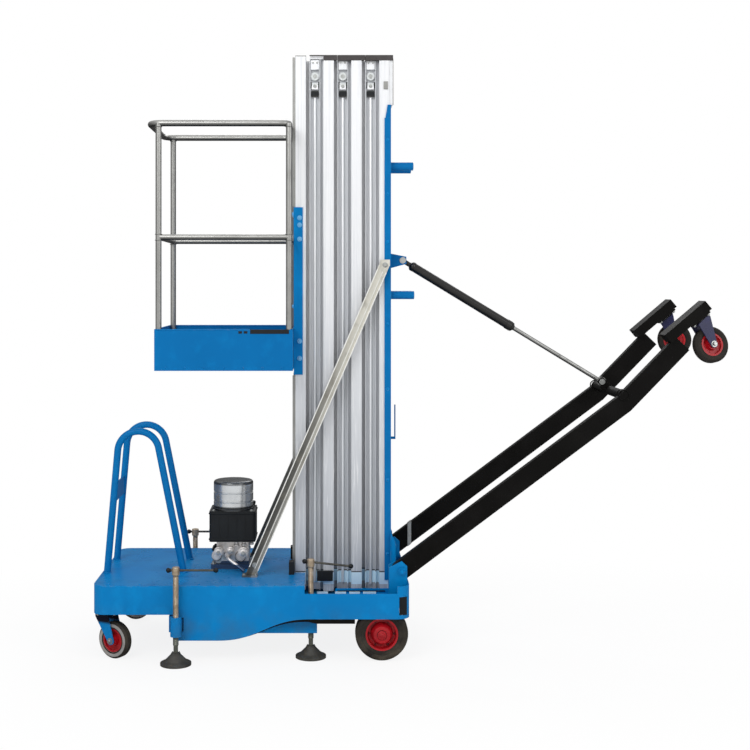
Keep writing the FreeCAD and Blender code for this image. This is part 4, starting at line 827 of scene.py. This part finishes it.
def tray_details():
    """Black edge strip on the near toe board, rolled hems on the others, and rivets along the floor."""
    strip, hems, rivets = Piece(), Piece(), Piece()
    x0, x1, half, z0, z1 = TRAY
    strip.block(-417, -243, -half - 1.2, -half + 4.2, 1441, z1 + 1.5)
    for dx in (-470, -446):
        strip.block(dx, dx + 17, -half - 0.8, -half + 1, 1442, 1453)
    hem, rivet_step = 3.4, 87
    inner = half - 1.5
    rounded = [at(-419, -inner, z1), at(x0 + 12, -inner, z1), at(x0 + 1.5, -inner + 10, z1),
               at(x0 + 1.5, inner - 10, z1), at(x0 + 12, inner, z1), at(x1 - 12, inner, z1),
               at(x1 - 1.5, inner - 10, z1), at(x1 - 1.5, -inner + 10, z1), at(x1 - 10, -inner, z1)]
    hems.run(rounded, hem, 10)
    for _, side in SIDES:
        for i in range(7):
            place = at(x0 + 50 + i * rivet_step, side * half, z0 + 14)
            rivets.rivet(place, (0, side, 0), 6)
    for y in (-220, -110, 0, 110, 220):
        rivets.rivet(at(x0, y, z0 + 14), (-1, 0, 0), 6)
    strip.out("toe_board_strip", "section_4", plastic, bevel=1)
    hems.out("toe_board_hem", "section_4", tray_blue)
    rivets.out("tray_rivets", "section_4", tray_blue)


def rail_welds():
    """Weld rings where rails and posts meet, flanges under the posts, and the tie's bolts."""
    welds, flanges, bolts = Piece(), Piece(), Piece()
    y = TRAY[2] - POST_INSET
    for x in (TRAY[0] + POST_INSET, TRAY[1] - POST_INSET):
        for _, side in SIDES:
            for end in (-1, 1):
                welds.bead(at(x, side * y, RAIL_MIDDLE + end * 13.5), UP, 14.2, 2.2)
            welds.bead(at(x, side * y, RAIL_TOP - 15.5), UP, 14.4, 2.4)
            welds.bead(at(x, side * (y - 14.6), RAIL_MIDDLE), (0, 1, 0), 13.2, 2)
            flanges.lathe(at(x, side * y, TRAY_FLOOR), UP,
                          [(13.6, 0), (17, 0), (17, 5), (15.2, 7.5), (13.6, 7.5), (13.6, 0)], 28)
    for _, side in SIDES:
        for end in (-1, 1):
            bolts.bolt(at(-238, side * 112, RAIL_MIDDLE + end * 12), (0, 0, end), 10)
    welds.out("rail_welds", "section_4", tube)
    flanges.out("post_flanges", "section_4", tube)
    bolts.out("tie_bolts", "section_4", fastener)


# Jacks

JACK_FRONT = dict(x=-735, y=446, bar_z=412, slid=72, tilt=0)
JACK_REAR = dict(x=-145, y=332, bar_z=424, slid=76, tilt=6)
SCREW_FOOT, COLLAR_Z, COLLAR_BOLTS, BAR_HALF = 34, 45, 17, 104
THREAD_LOW, THREAD_PITCH = 84, 5
THREAD_ROOT, THREAD_CREST = 11.4, 13
THREAD_STEPS = 20
SCREW_HEAD = [(0, 0), (15, 0), (17, 2), (17, 31), (15, 34), (9, 34), (7, 32), (0, 32)]
BAR = [(0, 0), (4.4, 0), (5, 1), (5, 207), (4.4, 208), (0, 208)]
KNOB = [(0, -11), (6.2, -11), (7.2, -9.5), (7.6, -8), (9.8, -5), (11, 0), (10.4, 4), (8.4, 7.2), (5, 9.8),
        (0, 11)]
PAD_COLLAR = [(10.4, 0), (21.5, 0), (21.5, 4), (19, 7), (14, 9), (10.4, 9), (10.4, 0)]


def thread(piece, x, y, low, high):
    """A V thread as one long helix of root and crest points."""
    count = int((high - low) / THREAD_PITCH * THREAD_STEPS)
    roots, crests = [], []
    for i in range(count + THREAD_STEPS + 1):
        turn = 2 * math.pi * i / THREAD_STEPS
        z = low + THREAD_PITCH * (i / THREAD_STEPS - 1)
        for points, radius, lift in ((roots, THREAD_ROOT, 0), (crests, THREAD_CREST, THREAD_PITCH / 2)):
            place = at(x + radius * math.cos(turn), y + radius * math.sin(turn), z + lift)
            points.append(piece.bm.verts.new(place))
    for i in range(count + THREAD_STEPS):
        piece.bm.faces.new((roots[i], roots[i + 1], crests[i + 1], crests[i]))
        j = i + THREAD_STEPS
        if j + 1 < len(roots):
            piece.bm.faces.new((crests[i], crests[i + 1], roots[j + 1], roots[j]))


def jack_screws():
    """Threaded screws with a turned head and a sliding bar with black ball knobs."""
    for label, jack in (("front", JACK_FRONT), ("rear", JACK_REAR)):
        for name, side in SIDES:
            x, y, bar_z = jack["x"], side * jack["y"], jack["bar_z"]
            body = "jack_%s_%s" % (label, name)
            shaft, head, bar, knobs, pad = Piece(), Piece(), Piece(), Piece(), Piece()
            head_low = bar_z - 20
            core = THREAD_ROOT - 0.6
            thread(shaft, x, y, THREAD_LOW + THREAD_PITCH, head_low - 6)
            shaft.lathe(at(x, y, SCREW_FOOT), UP, [
                (0, 0), (10, 0), (10, 48), (11.6, 51), (11.6, 54), (core, 56), (core, head_low - 40),
                (12.6, head_low - 38), (12.6, head_low - 34)], 24)
            head.lathe(at(x, y, head_low), UP, SCREW_HEAD, 28)
            lean = math.radians(-jack["tilt"])
            way = Vector((math.cos(lean), 0, math.sin(lean)))
            middle = at(x, y, bar_z) + way * (jack["slid"] * MM)
            bar.lathe(middle - way * (BAR_HALF * MM), way, BAR, 20)
            for end in (-1, 1):
                knobs.lathe(middle + way * (end * BAR_HALF * MM), way * end, KNOB, 24)
            for piece, kind, material, sharp in (
                    (shaft, "screw_thread", screw, 60), (head, "screw_head", screw, 32),
                    (bar, "sliding_bar", iron, 32), (knobs, "bar_knobs", plastic, 32)):
                part = piece.out("%s_%s_%s" % (kind, label, name), body, material, sharp=sharp)
                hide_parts("jack_screw_%s_%s" % (label, name))
            pad.lathe(at(x, y, COLLAR_Z), UP, PAD_COLLAR, 32)
            for c, s in turns(3, 0.25):
                pad.bolt(at(x + COLLAR_BOLTS * c, y + COLLAR_BOLTS * s, COLLAR_Z + 7), UP, 5, washer=False)
            pad.out("pad_collar_%s_%s" % (label, name), body, iron)


# Wheels and casters

REAR_X, WHEEL_Z, WHEEL_Y, AXLE_END_Y, WHEEL_BOLTS = 169, 117, 364, 407, 57
AXLE_CAP = [(0, 0), (20, 0), (20, 3), (18, 5), (11, 6), (10, 8.6), (6, 10.4), (0, 11)]
REAR_BOSS = [(30.5, 6), (50, 6), (49, 12), (44, 24), (40, 36), (36, 41), (27, 43), (22, 43), (22, 36.2)]
REAR_RIM = [(56, 6), (60, 6.2), (64.5, 10), (64.5, 30), (68, 32.4), (72, 32.6)]


def rear_tyre(y):
    """Solid tyre with round shoulders and fine rings moulded in its sides and tread."""
    piece = Piece()
    profile = [(72, 32), (74, 32), (78, 34.2), (88, 35.2), (90, 34.2), (92, 35.4), (100, 36)]
    shoulder = 17
    for k in range(5):
        turn = math.radians(18 * (k + 1))
        profile.append((100 + shoulder * math.sin(turn), 19 + shoulder * math.cos(turn)))
    profile += [(115.6, 16), (115.6, 13), (117, 12), (117, 2), (115.6, 1.4)]
    full = profile + [(r, -w) for r, w in reversed(profile)]
    piece.lathe(at(REAR_X, y, WHEEL_Z), (0, 1, 0), full + [full[0]], 96)
    return piece


def rear_wheels():
    """Tyres, red hub faces with their bolts, and the caps on the axle's ends."""
    for name, side in SIDES:
        y, out = side * WHEEL_Y, (0, side, 0)
        body = "rear_wheel_" + name
        tyre = rear_tyre(y).out("rear_tread_" + name, body, rubber)
        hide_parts("rear_tyre_" + name)
        bolts, boss = Piece(), Piece()
        for c, s in turns(6):
            place = at(REAR_X + WHEEL_BOLTS * c, y + side * 6, WHEEL_Z + WHEEL_BOLTS * s)
            bolts.bolt(place, out, 9, washer=False)
        boss.lathe(at(REAR_X, y, WHEEL_Z), out, REAR_BOSS, 48)
        boss.lathe(at(REAR_X, y, WHEEL_Z), out, REAR_RIM, 64)
        bolts.out("rear_wheel_bolts_" + name, body, red_dark)
        boss.out("rear_wheel_boss_" + name, body, red)
    caps = Piece()
    for _, side in SIDES:
        caps.lathe(at(REAR_X, side * AXLE_END_Y, WHEEL_Z), (0, side, 0), AXLE_CAP, 32)
    caps.out("axle_caps", "chassis", red)


ARM_Y = 285
SWIVEL = {"caster": -30, "arm": 16}
TIP_SLOPE = math.radians(40.3)
TIP_WAY = Vector((math.cos(TIP_SLOPE), 0, math.sin(TIP_SLOPE)))
TIP_DOWN = Vector((TIP_WAY.z, 0, -TIP_WAY.x))
TIP_SEAT = Vector((1434.5, 0, 1436.5)) + TIP_DOWN * 46 + TIP_WAY * 170


def caster_frame(kind, side):
    """Swivel centre, and the unit vectors along the fork, across it and up its swivel line."""
    if kind == "caster":
        seat, way, up = Vector((-1058, side * 315, 208)), Vector((1, 0, 0)), Vector(UP)
    else:
        seat, way, up = TIP_SEAT + Vector((0, side * ARM_Y, 0)), TIP_WAY, -TIP_DOWN
    swivel = SWIVEL[kind]
    across = Vector((0, 1, 0))
    turn = math.radians(swivel * -side)
    turned_way = way * math.cos(turn) + across * math.sin(turn)
    turned_across = -way * math.sin(turn) + across * math.cos(turn)
    return seat, turned_way, turned_across, up


WHEEL_DROP, HUB_NUTS = -127, 32.5
CASTER_RACE = [(0, 0), (24, 0), (29, 2), (30.5, 5), (29, 8), (24, 9.6), (0, 9.6)]
CASTER_PIN = [(0, 0), (7.6, 0), (7.6, 6), (6.4, 7.5), (0, 7.5)]
CASTER_BOSS = [(22.4, 6), (27, 6.2), (25, 12), (22.6, 20), (22.2, 23.2), (12, 23.2)]
CASTER_RIM = [(38, 6), (41, 6.4), (44.4, 10), (44.4, 17.2), (47, 19.2), (52, 19.4)]
# Painted shade on the grey caster tyres: a thin dark shell over the tread and its shoulders, and dark rings
# beside the rim, as closed rings of radius and offset
CASTER_TREAD_SHADE = [(72.5, 22), (81.2, 13.2), (81.2, -13.2), (72.5, -22), (72, -21.4), (80.7, -12.9),
                (80.7, 12.9), (72, 21.4)]
CASTER_RIM_SHADE = [(52.6, 20.9), (58, 22.7), (58, 21.6), (52.6, 19.8)]


def caster_details():
    """Swivel bearings, axle nuts, mounting bolts and hub faces of the casters, and dark tyre rings as painted
    shade.
    """
    for kind, trail, holder, swivel_body, square, inset in (
            ("caster", 48, "chassis", "caster", Vector((1, 0, 0)), (-34, 40)),
            ("arm", -38, "arms", "arm_caster", TIP_WAY, (-40, 40))):
        for name, side in SIDES:
            seat, way, across, up = caster_frame(kind, side)

            def place(along, over, height):
                return at(*(seat + way * along + across * over + up * height))

            race, nuts, mounts, hub = Piece(), Piece(), Piece(), Piece()
            race.lathe(place(0, 0, -18.2), up, CASTER_RACE, 40)
            axle = place(trail, 0, WHEEL_DROP)
            for end in (-1, 1):
                nuts.bolt(place(trail, end * 36, WHEEL_DROP), across * end, 15)
                nuts.lathe(place(trail, end * 41, WHEEL_DROP), across * end, CASTER_PIN, 20)
                hub.lathe(axle, across * end, CASTER_BOSS, 36)
                hub.lathe(axle, across * end, CASTER_RIM, 48)
                for c, s in turns(5):
                    spot = place(trail + HUB_NUTS * c, end * 6, WHEEL_DROP + HUB_NUTS * s)
                    hub.lathe(spot, across * end, [(0, 0), (4.2, 0), (4.2, 1.6), (0, 2.2)], 12)
            for dx in inset:
                for dy in (-38, 38):
                    mounts.bolt(at(*(seat + square * dx + Vector((0, dy, 0)) + up * -8)), -up, 11)
            # Thin dark shells over the grey tyres: painted shade
            if kind == "caster":
                rings = Piece()
                for ring in (CASTER_TREAD_SHADE, CASTER_RIM_SHADE, [(r, -w) for r, w in CASTER_RIM_SHADE]):
                    rings.lathe(axle, across, ring + [ring[0]], 64)
                rings.out("caster_rings_" + name, "caster_wheel_" + name, rubber)
            fork, wheel = "%s_%s" % (swivel_body, name), "%s_wheel_%s" % (kind, name)
            for piece, label, body, material in (
                    (race, "race", fork, fastener), (nuts, "axle_nuts", fork, fastener),
                    (mounts, "plate_bolts", holder, fastener), (hub, "hub_face", wheel, red)):
                piece.out("%s_%s_%s" % (kind, label, name), body, material)


# Power pack

PACK_X = -512
DECK_TOP = 336
TANK_LOW, TANK_TOP = 466, 608
MOTOR_RADIUS, STUD_Z = 92, 700
VALVE_FRONT, COIL_NUT = -60, 0.8


def pack(x, y, z):
    """A place in millimetres from the power pack's middle, with its height over the floor."""
    return at(PACK_X + x, y, z)


def motor_details():
    """Foot ring, and terminal studs on the far side."""
    steel, dark = Piece(), Piece()
    steel.lathe(pack(0, 0, TANK_TOP), UP, [(93, 0), (98, 0), (98, 7), (96, 9), (93, 9), (93, 0)], 72)
    for i in range(2):
        turn = math.radians(70 + 40 * i)
        out = Vector((math.cos(turn), math.sin(turn), 0))
        place = pack(0, 0, STUD_Z) + out * (MOTOR_RADIUS * MM)
        dark.lathe(place, out, [(0, 0), (12, 0), (12, 8), (10, 10), (5, 10), (5, 22), (0, 22)], 24)
        steel.lathe(place + out * (10 * MM), out, collar(5.2, 9, 6), 6)
    steel.out("motor_fittings", "chassis", casting)
    dark.out("motor_terminals", "chassis", plastic)


def tank_details():
    """Filler cap, moulded ribs and rim, and a drain plug on the oil tank."""
    dark, steel = Piece(), Piece()
    half_x, half_y = 107, 95
    dark.lathe(pack(half_x - 24, half_y - 22, TANK_TOP), UP, [
        (0, 0), (15, 0), (15, 8), (18, 9), (18, 20), (16, 22), (0, 23)], 20)
    for z in (TANK_LOW + 10, TANK_TOP - 12):
        ring = []
        for cx, cy, first in ((1, 1, 0), (-1, 1, 90), (-1, -1, 180), (1, -1, 270)):
            for k in range(6):
                turn = math.radians(first + 18 * k)
                ring.append(pack(cx * (half_x - 14) + 14.6 * math.cos(turn),
                               cy * (half_y - 14) + 14.6 * math.sin(turn), z))
        dark.run(ring, 3, 8, closed=True)
    for x in (-60, -20, 20, 60):
        dark.blocks(PACK_X + x - 2, PACK_X + x + 2, half_y - 1, half_y + 1.8, TANK_LOW + 18, TANK_TOP - 20)
    steel.bolt(pack(-half_x, 40, TANK_LOW + 26), (-1, 0, 0), 16)
    for dx in (-88, 88):
        for dy in (-76, 76):
            steel.bolt(pack(dx, dy, TANK_TOP), UP, 9)
    dark.out("tank_fittings", "chassis", plastic)
    steel.out("tank_bolts", "chassis", fastener)


def valve_details():
    """Coils with their nuts, hexagon plugs, pipe unions and foot bolts on the valve block."""
    steel, dark, cast = Piece(), Piece(), Piece()
    for x, z, radius, length in ((-62, 424, 19, 62), (-8, 426, 15, 48), (52, 420, 21, 58)):
        end = pack(x, VALVE_FRONT - length, z)
        nut = radius * COIL_NUT
        cast.lathe(end, (0, -1, 0), [(0, 0), (nut, 0), (nut, 2), (radius * 0.55, 4), (0, 4)], 28)
        steel.bolt(end + Vector((0, -4 * MM, 0)), (0, -1, 0), nut, washer=False)
        cast.lathe(pack(x, VALVE_FRONT - length * 0.62, z), (0, -1, 0), [
            (radius + 0.2, 0), (radius + 2.6, 1), (radius + 2.6, 9), (radius + 0.2, 10)], 32)
    for x, z, radius, length in ((-74, 398, 24, 26), (38, 396, 26, 22), (-22, 404, 17, 34)):
        cast.lathe(pack(x, VALVE_FRONT + 2, z), (0, -1, 0), [
            (0, 0), (radius, 0), (radius, length - 6), (radius - 4, length), (radius - 9, length),
            (radius - 9, length + 5), (0, length + 5)], 32)
    for x, y in ((18, -66), (52, -58), (84, -30)):
        cast.lathe(pack(x, y, 442), UP, [(0, 0), (13, 0), (13, 9), (9, 11), (9, 20), (0, 20)], 24)
    for x, z in ((-34, 392), (24, 384), (-66, 376)):
        steel.bolt(pack(x, VALVE_FRONT, z), (0, -1, 0), 16)
    for x in (-62, 0, 62):
        steel.bolt(pack(x, 60, 410), (0, 1, 0), 17)
    for y in (-34, 0, 34):
        dark.lathe(pack(-75, y, 420), (-1, 0, 0), [
            (0, 0), (13, 0), (13, 16), (11, 18), (6, 18), (6, 24), (0, 24)], 20)
    steel.lathe(pack(-20, -78, 396), (0, -1, 0), collar(8.2, 14, 12), 6)
    for dx in (-90, 90):
        for dy in (-62, 62):
            steel.bolt(pack(dx, dy, DECK_TOP + 22), UP, 13)
    steel.out("valve_nuts", "chassis", fastener)
    dark.out("valve_plugs", "chassis", plastic)
    cast.out("valve_coils", "chassis", valve)


# Chassis

SKIRT_X0, SKIRT_X1, SKIRT_PULL = -548, -157, 0.45
SKIRT_LOW, SKIRT_HIGH = 94, 191
SILL_DEEP, SILL_END_X = 23, -121


def skirt_edge(t):
    """A point of the skirt's curved lower edge, 0 at its deep end and 1 at its shallow one."""
    pull = (SKIRT_X1 - SKIRT_X0) * SKIRT_PULL
    weights = ((1 - t) ** 3, 3 * t * (1 - t) ** 2, 3 * t ** 2 * (1 - t), t ** 3)
    poles = ((SKIRT_X0, SKIRT_LOW), (SKIRT_X0 + pull, SKIRT_LOW),
             (SKIRT_X1 - pull, SKIRT_HIGH), (SKIRT_X1, SKIRT_HIGH))
    return [sum(w * pole[i] for w, pole in zip(weights, poles)) for i in (0, 1)]


def curved_skirt_shade():
    """A black strip along the skirt's curve that deepens until it meets the straight sill, as painted shade
    under the skirt's curved edge.
    """
    piece = Piece()
    steps = 24
    upper, lower = [], []
    for i in range(steps + 1):
        t = 0.25 + 0.75 * i / steps
        x, z = skirt_edge(t)
        upper.append((x, z + 2))
        lower.append((x, z - 1 - 14 * i / steps))
    upper.append((SILL_END_X, SKIRT_HIGH + 2))
    lower.append((SILL_END_X, SKIRT_HIGH - SILL_DEEP))
    for _, side in SIDES:
        # Painted shade under the skirt's curved edge
        piece.prism([at(x, side * 401, z) for x, z in upper + lower[::-1]], Vector((0, side * 6 * MM, 0)))
    piece.out("curved_skirt_shade", "chassis", black)


def deck_details():
    """Screws along the deck's edges, welds at the handles' feet and gussets, and the straight black sills,
    partly the frame's lower flange and partly painted shade under the skirt.
    """
    heads, welds, sills = Piece(), Piece(), Piece()
    for x in (-1040, -900, -640, -500, -340, -215):
        for _, side in SIDES:
            heads.rivet(at(x, side * 388, DECK_TOP), UP, 9)
    for x, way in ((-1084, (0.086, 0, 1)), (-733, (-0.2, 0, 1))):
        for _, side in SIDES:
            welds.bead(at(x + 0.3, side * 144, DECK_TOP + 1.5), way, 17.2, 3)
    for _, side in SIDES:
        for z in (661, 741):
            welds.seam(at(-1049, side * 100, z), at(-1049, side * 128, z), 1.6)
        welds.seam(at(222, side * 148, 252), at(222, side * 148, 500), 2.2)
        for y in (251, 259, 311, 319):
            welds.seam(at(207, side * y, 235), at(284, side * y, 235), 2.4)
    # Partly a lower flange, partly painted shade under the skirt's edge
    sills.blocks(SILL_END_X, 50, 401, 409, SKIRT_HIGH - SILL_DEEP, SKIRT_HIGH)
    heads.out("deck_screws", "chassis", deck_blue)
    sills.out("frame_sills_and_shade", "chassis", black, bevel=1)
    welds.out("chassis_welds", "chassis", blue_low)


# Across the channel from and to, and out of it from and to
STRIPS = ((-23.4, -19, 26, 27.4), (19, 23.4, 26, 27.4), (4, 8, 4, 9))
STRIP_INSET = 42


def strut_details():
    """Bolts through the struts' feet and heads, and edge strips and a rib along each channel, in a brighter
    steel as painted highlight lines.
    """
    piece, strips = Piece(), Piece()
    for _, side in SIDES:
        foot, head = Vector((*STRUT_FOOT, STRUT_LOW)), Vector((*STRUT_HEAD, STRUT_HIGH))
        foot.y, head.y = side * foot.y, side * head.y
        way = (head - foot).normalized()
        out = (Vector((0, side, 0)) - way * (side * way.y)).normalized()
        across = way.cross(out) * -side
        start = foot + way * STRIP_INSET
        reach = way * (((head - foot).length - 2 * STRIP_INSET) * MM)
        for low, high, base, top in STRIPS:
            outline = ((low, base), (high, base), (high, top), (low, top))
            strips.prism([at(*(start + across * u + out * v)) for u, v in outline], reach)
        for dx in (-27, 27):
            piece.bolt(at(STRUT_FOOT[0] + dx, side * (STRUT_FOOT[1] + 26), 344), UP, 9)
        piece.bolt(at(STRUT_HEAD[0], side * 146, 1752), (0, side, 0), 13)
        piece.bolt(at(-402, side * 208, 384), (0, side, 0), 12)
    piece.out("strut_bolts", "chassis", fastener)
    strips.out("strut_strips", "chassis", strip_metal)


# Arms and damper

ARM_ROOT, ARM_WAY = Vector((262, 0, 380)), Vector((0.8007, 0, 0.5990))
CROSSBAR = (1258, 1165)
BAND_AT, BAND_WIDE, BAND_THICK = 92, 22, 1.6
BAND_HALF_Y, BAND_HALF_Z = 21.2, 43.2


def arm_details():
    """Pivot nuts, weld beads at the crossbar, and a clamp band on the far arm."""
    nuts, welds, band = Piece(), Piece(), Piece()
    for _, side in SIDES:
        for end in (1, -1):
            nuts.bolt(at(ARM_ROOT.x, side * (ARM_Y + end * 40), ARM_ROOT.z), (0, side * end, 0), 18)
            welds.bead(at(CROSSBAR[0], side * ARM_Y + end * 20.6, CROSSBAR[1]), (0, 1, 0), 23, 2.8)
    centre = ARM_ROOT + ARM_WAY * BAND_AT + Vector((0, ARM_Y, 0))
    corners = [centre + Vector((0, u * BAND_HALF_Y, v * BAND_HALF_Z / ARM_WAY.x))
               for u, v in ((-1, -1), (1, -1), (1, 1), (-1, 1))]
    half = ARM_WAY * (BAND_WIDE / 2)
    for first, last in zip(corners, corners[1:] + corners[:1]):
        out = ((first + last) / 2 - centre).normalized()
        plate = [at(*p) for p in (first - half, first + half, last + half, last - half)]
        band.prism(plate, out * (BAND_THICK * MM))
    band.bolt(at(*(centre - Vector((0, BAND_HALF_Y + BAND_THICK, 0)))), (0, -1, 0), 10)
    nuts.out("arm_pivot_nuts", "chassis", blue_low)
    welds.out("crossbar_welds", "arms", black)
    band.out("arm_band", "arms", fastener)


DAMPER_PIN = Vector((285, 0, 1776))
DAMPER_EYE = Vector((1222, 0, 1205))
PIN_REACH = 24
BARREL_LONG = 606
GLAND = [(21.1, 0), (23, 1), (23, 26), (21, 29), (21.1, 30), (18, 33), (18, 36), (10.6, 36.6)]
BARREL_FOOT = [(12, -8), (16, -6), (21.6, 0), (22.2, 3), (22.2, 12), (21.1, 14)]
WIPER = [(10.2, 0), (14, 0), (13, 4), (10.6, 6), (10.2, 6)]


def damper_details():
    """Gland nut and wiper on the barrel, a collar at its foot, and rings on both pins."""
    way = (DAMPER_EYE - DAMPER_PIN).normalized()
    tube_end = at(*(DAMPER_PIN + way * BARREL_LONG))
    barrel, seal, pins, arm_pins = Piece(), Piece(), Piece(), Piece()
    barrel.lathe(tube_end - way * (34 * MM), way, GLAND, 40)
    barrel.lathe(at(*(DAMPER_PIN + way * 50)), way, BARREL_FOOT, 40)
    seal.lathe(tube_end + way * (2 * MM), way, WIPER, 28)
    for piece, pin, washer in ((pins, DAMPER_PIN, 15), (arm_pins, DAMPER_EYE, 14)):
        for _, side in SIDES:
            piece.lathe(at(pin.x, side * PIN_REACH, pin.z), (0, side, 0), [
                (8.3, 0), (washer, 0), (washer, 2.4), (8.3, 2.4), (8.3, 4.2), (9.6, 4.2), (9.6, 5.6),
                (0, 5.6)], 28)
    barrel.out("damper_gland", "damper_tube", barrel_black)
    seal.out("damper_wiper", "damper_tube", plastic)
    pins.out("damper_pin_rings", "chassis", fastener)
    arm_pins.out("damper_eye_rings", "arms", fastener)


for build in (cap_lips, last_section_ribs, fixed_section_flange, groove_fasteners, mast_cap_screws,
              mast_foot_details, back_plate_details, carriage_bolts, tread_pattern, tray_details, rail_welds,
              jack_screws, rear_wheels, caster_details, motor_details, tank_details, valve_details,
              curved_skirt_shade, deck_details, strut_details, arm_details, damper_details):
    build()


# Stage

WORLD_LIGHT = 0.62
MIRROR_BRIGHT, MIRROR_DARK = 1.1, 0.12
FLOOR_HALF, FLOOR_DROP = 30, 0.0006
SHADOW_SHAPE, SHADOW_FADE, SHADOW_SHARE = (0.55, 0.9, 0), (0.8, 1.7), (0.86, 1)


def white_floor():
    """A white floor that keeps the object's shadow near it and turns plain white further out."""
    m = Mat("floor_white", (250, 250, 250), 0.9, specular=0.1).mottle(1.5, (247, 247, 247), 0.4, 0.7)
    rays = m.new("ShaderNodeLightPath").outputs
    direct = m.math("MAXIMUM", rays["Is Camera Ray"], rays["Is Transmission Ray"])
    seen = m.math("MAXIMUM", direct, rays["Is Glossy Ray"])
    behind = m.fade(m.axis("Y"), -3, -0.4, 1, MIRROR_DARK)
    plain = m.use("ShaderNodeEmission", "Emission", {
        "Color": WHITE, "Strength": m.math("MAXIMUM", direct, behind)})
    flat = m.use("ShaderNodeMapping", "Vector", {"Vector": m.coords, "Scale": SHADOW_SHAPE})
    away = m.use("ShaderNodeVectorMath", "Value", {0: flat}, operation="LENGTH")
    share = m.times(seen, m.fade(away, *SHADOW_FADE, *SHADOW_SHARE))
    output = next(n for n in m.tree.nodes if n.type == "OUTPUT_MATERIAL")
    m.feed(output.inputs["Surface"], m.mixed(share, m.shader.outputs["BSDF"], plain))
    return m


def stage_floor():
    corners = [(x * FLOOR_HALF, y * FLOOR_HALF, 0) for x, y in ((-1, -1), (1, -1), (1, 1), (-1, 1))]
    mesh = bpy.data.meshes.new("floor")
    mesh.from_pydata(corners, [], [(0, 1, 2, 3)])
    mesh.materials.append(white_floor().mat)
    plane = bpy.data.objects.new("floor", mesh)
    plane.location.z = -FLOOR_DROP
    bpy.context.scene.collection.objects.link(plane)


def white_world():
    """Even light all round; plain white is seen directly, and reflections see dark beside and behind."""
    world = bpy.data.worlds.new("studio")
    bpy.context.scene.world = world
    world.use_nodes = True
    world.node_tree.nodes.clear()
    w = Nodes(world.node_tree)

    def glow(strength):
        return w.use("ShaderNodeBackground", "Background", {"Color": WHITE, "Strength": strength})

    rays = w.new("ShaderNodeLightPath").outputs
    way = w.new("ShaderNodeTexCoord").outputs["Generated"]
    front = w.fade(w.part(way, "Y"), -0.8, 0.1, MIRROR_BRIGHT, MIRROR_DARK)
    above = w.fade(w.part(way, "Z"), 0.25, 0.8, MIRROR_DARK, MIRROR_BRIGHT)
    lit = w.mixed(rays["Is Glossy Ray"], glow(WORLD_LIGHT), glow(w.math("MAXIMUM", front, above)))
    seen = w.math("MAXIMUM", rays["Is Camera Ray"], rays["Is Transmission Ray"])
    output = w.new("ShaderNodeOutputWorld")
    w.feed(output.inputs["Surface"], w.mixed(seen, lit, glow(1)))


LAMPS = (
    ("key", (-2.6, -4.6, 4.6), (0, 0, 1.6), (3, 3), 138),
    ("fill", (4.2, -3.6, 3.2), (0, 0, 1.4), (3, 3), 68),
    ("back", (0.5, 4.5, 4.8), (0, 0, 1.2), (4, 3), 100),
)


def lamps():
    for name, place, target, size, power in LAMPS:
        data = bpy.data.lights.new(name, "AREA")
        data.shape = "RECTANGLE"
        data.size, data.size_y = size
        data.energy = power
        obj = bpy.data.objects.new(name, data)
        bpy.context.scene.collection.objects.link(obj)
        obj.location = place
        obj.rotation_euler = (Vector(target) - Vector(place)).to_track_quat("-Z", "Y").to_euler()


def photo_camera():
    """Square to the side, with the photograph's off-centre framing as shift."""
    data = bpy.data.cameras.new("camera")
    data.sensor_width = 36
    data.lens = 62.16
    data.shift_x = 0.0733
    data.shift_y = -0.12
    camera = bpy.data.objects.new("camera", data)
    bpy.context.scene.collection.objects.link(camera)
    camera.location = (-0.4154, -6.11, 1.66)
    camera.rotation_euler = (math.radians(90), 0, 0)
    bpy.context.scene.camera = camera


stage_floor()
white_world()
lamps()
photo_camera()
bpy.context.scene.view_settings.view_transform = "Standard"
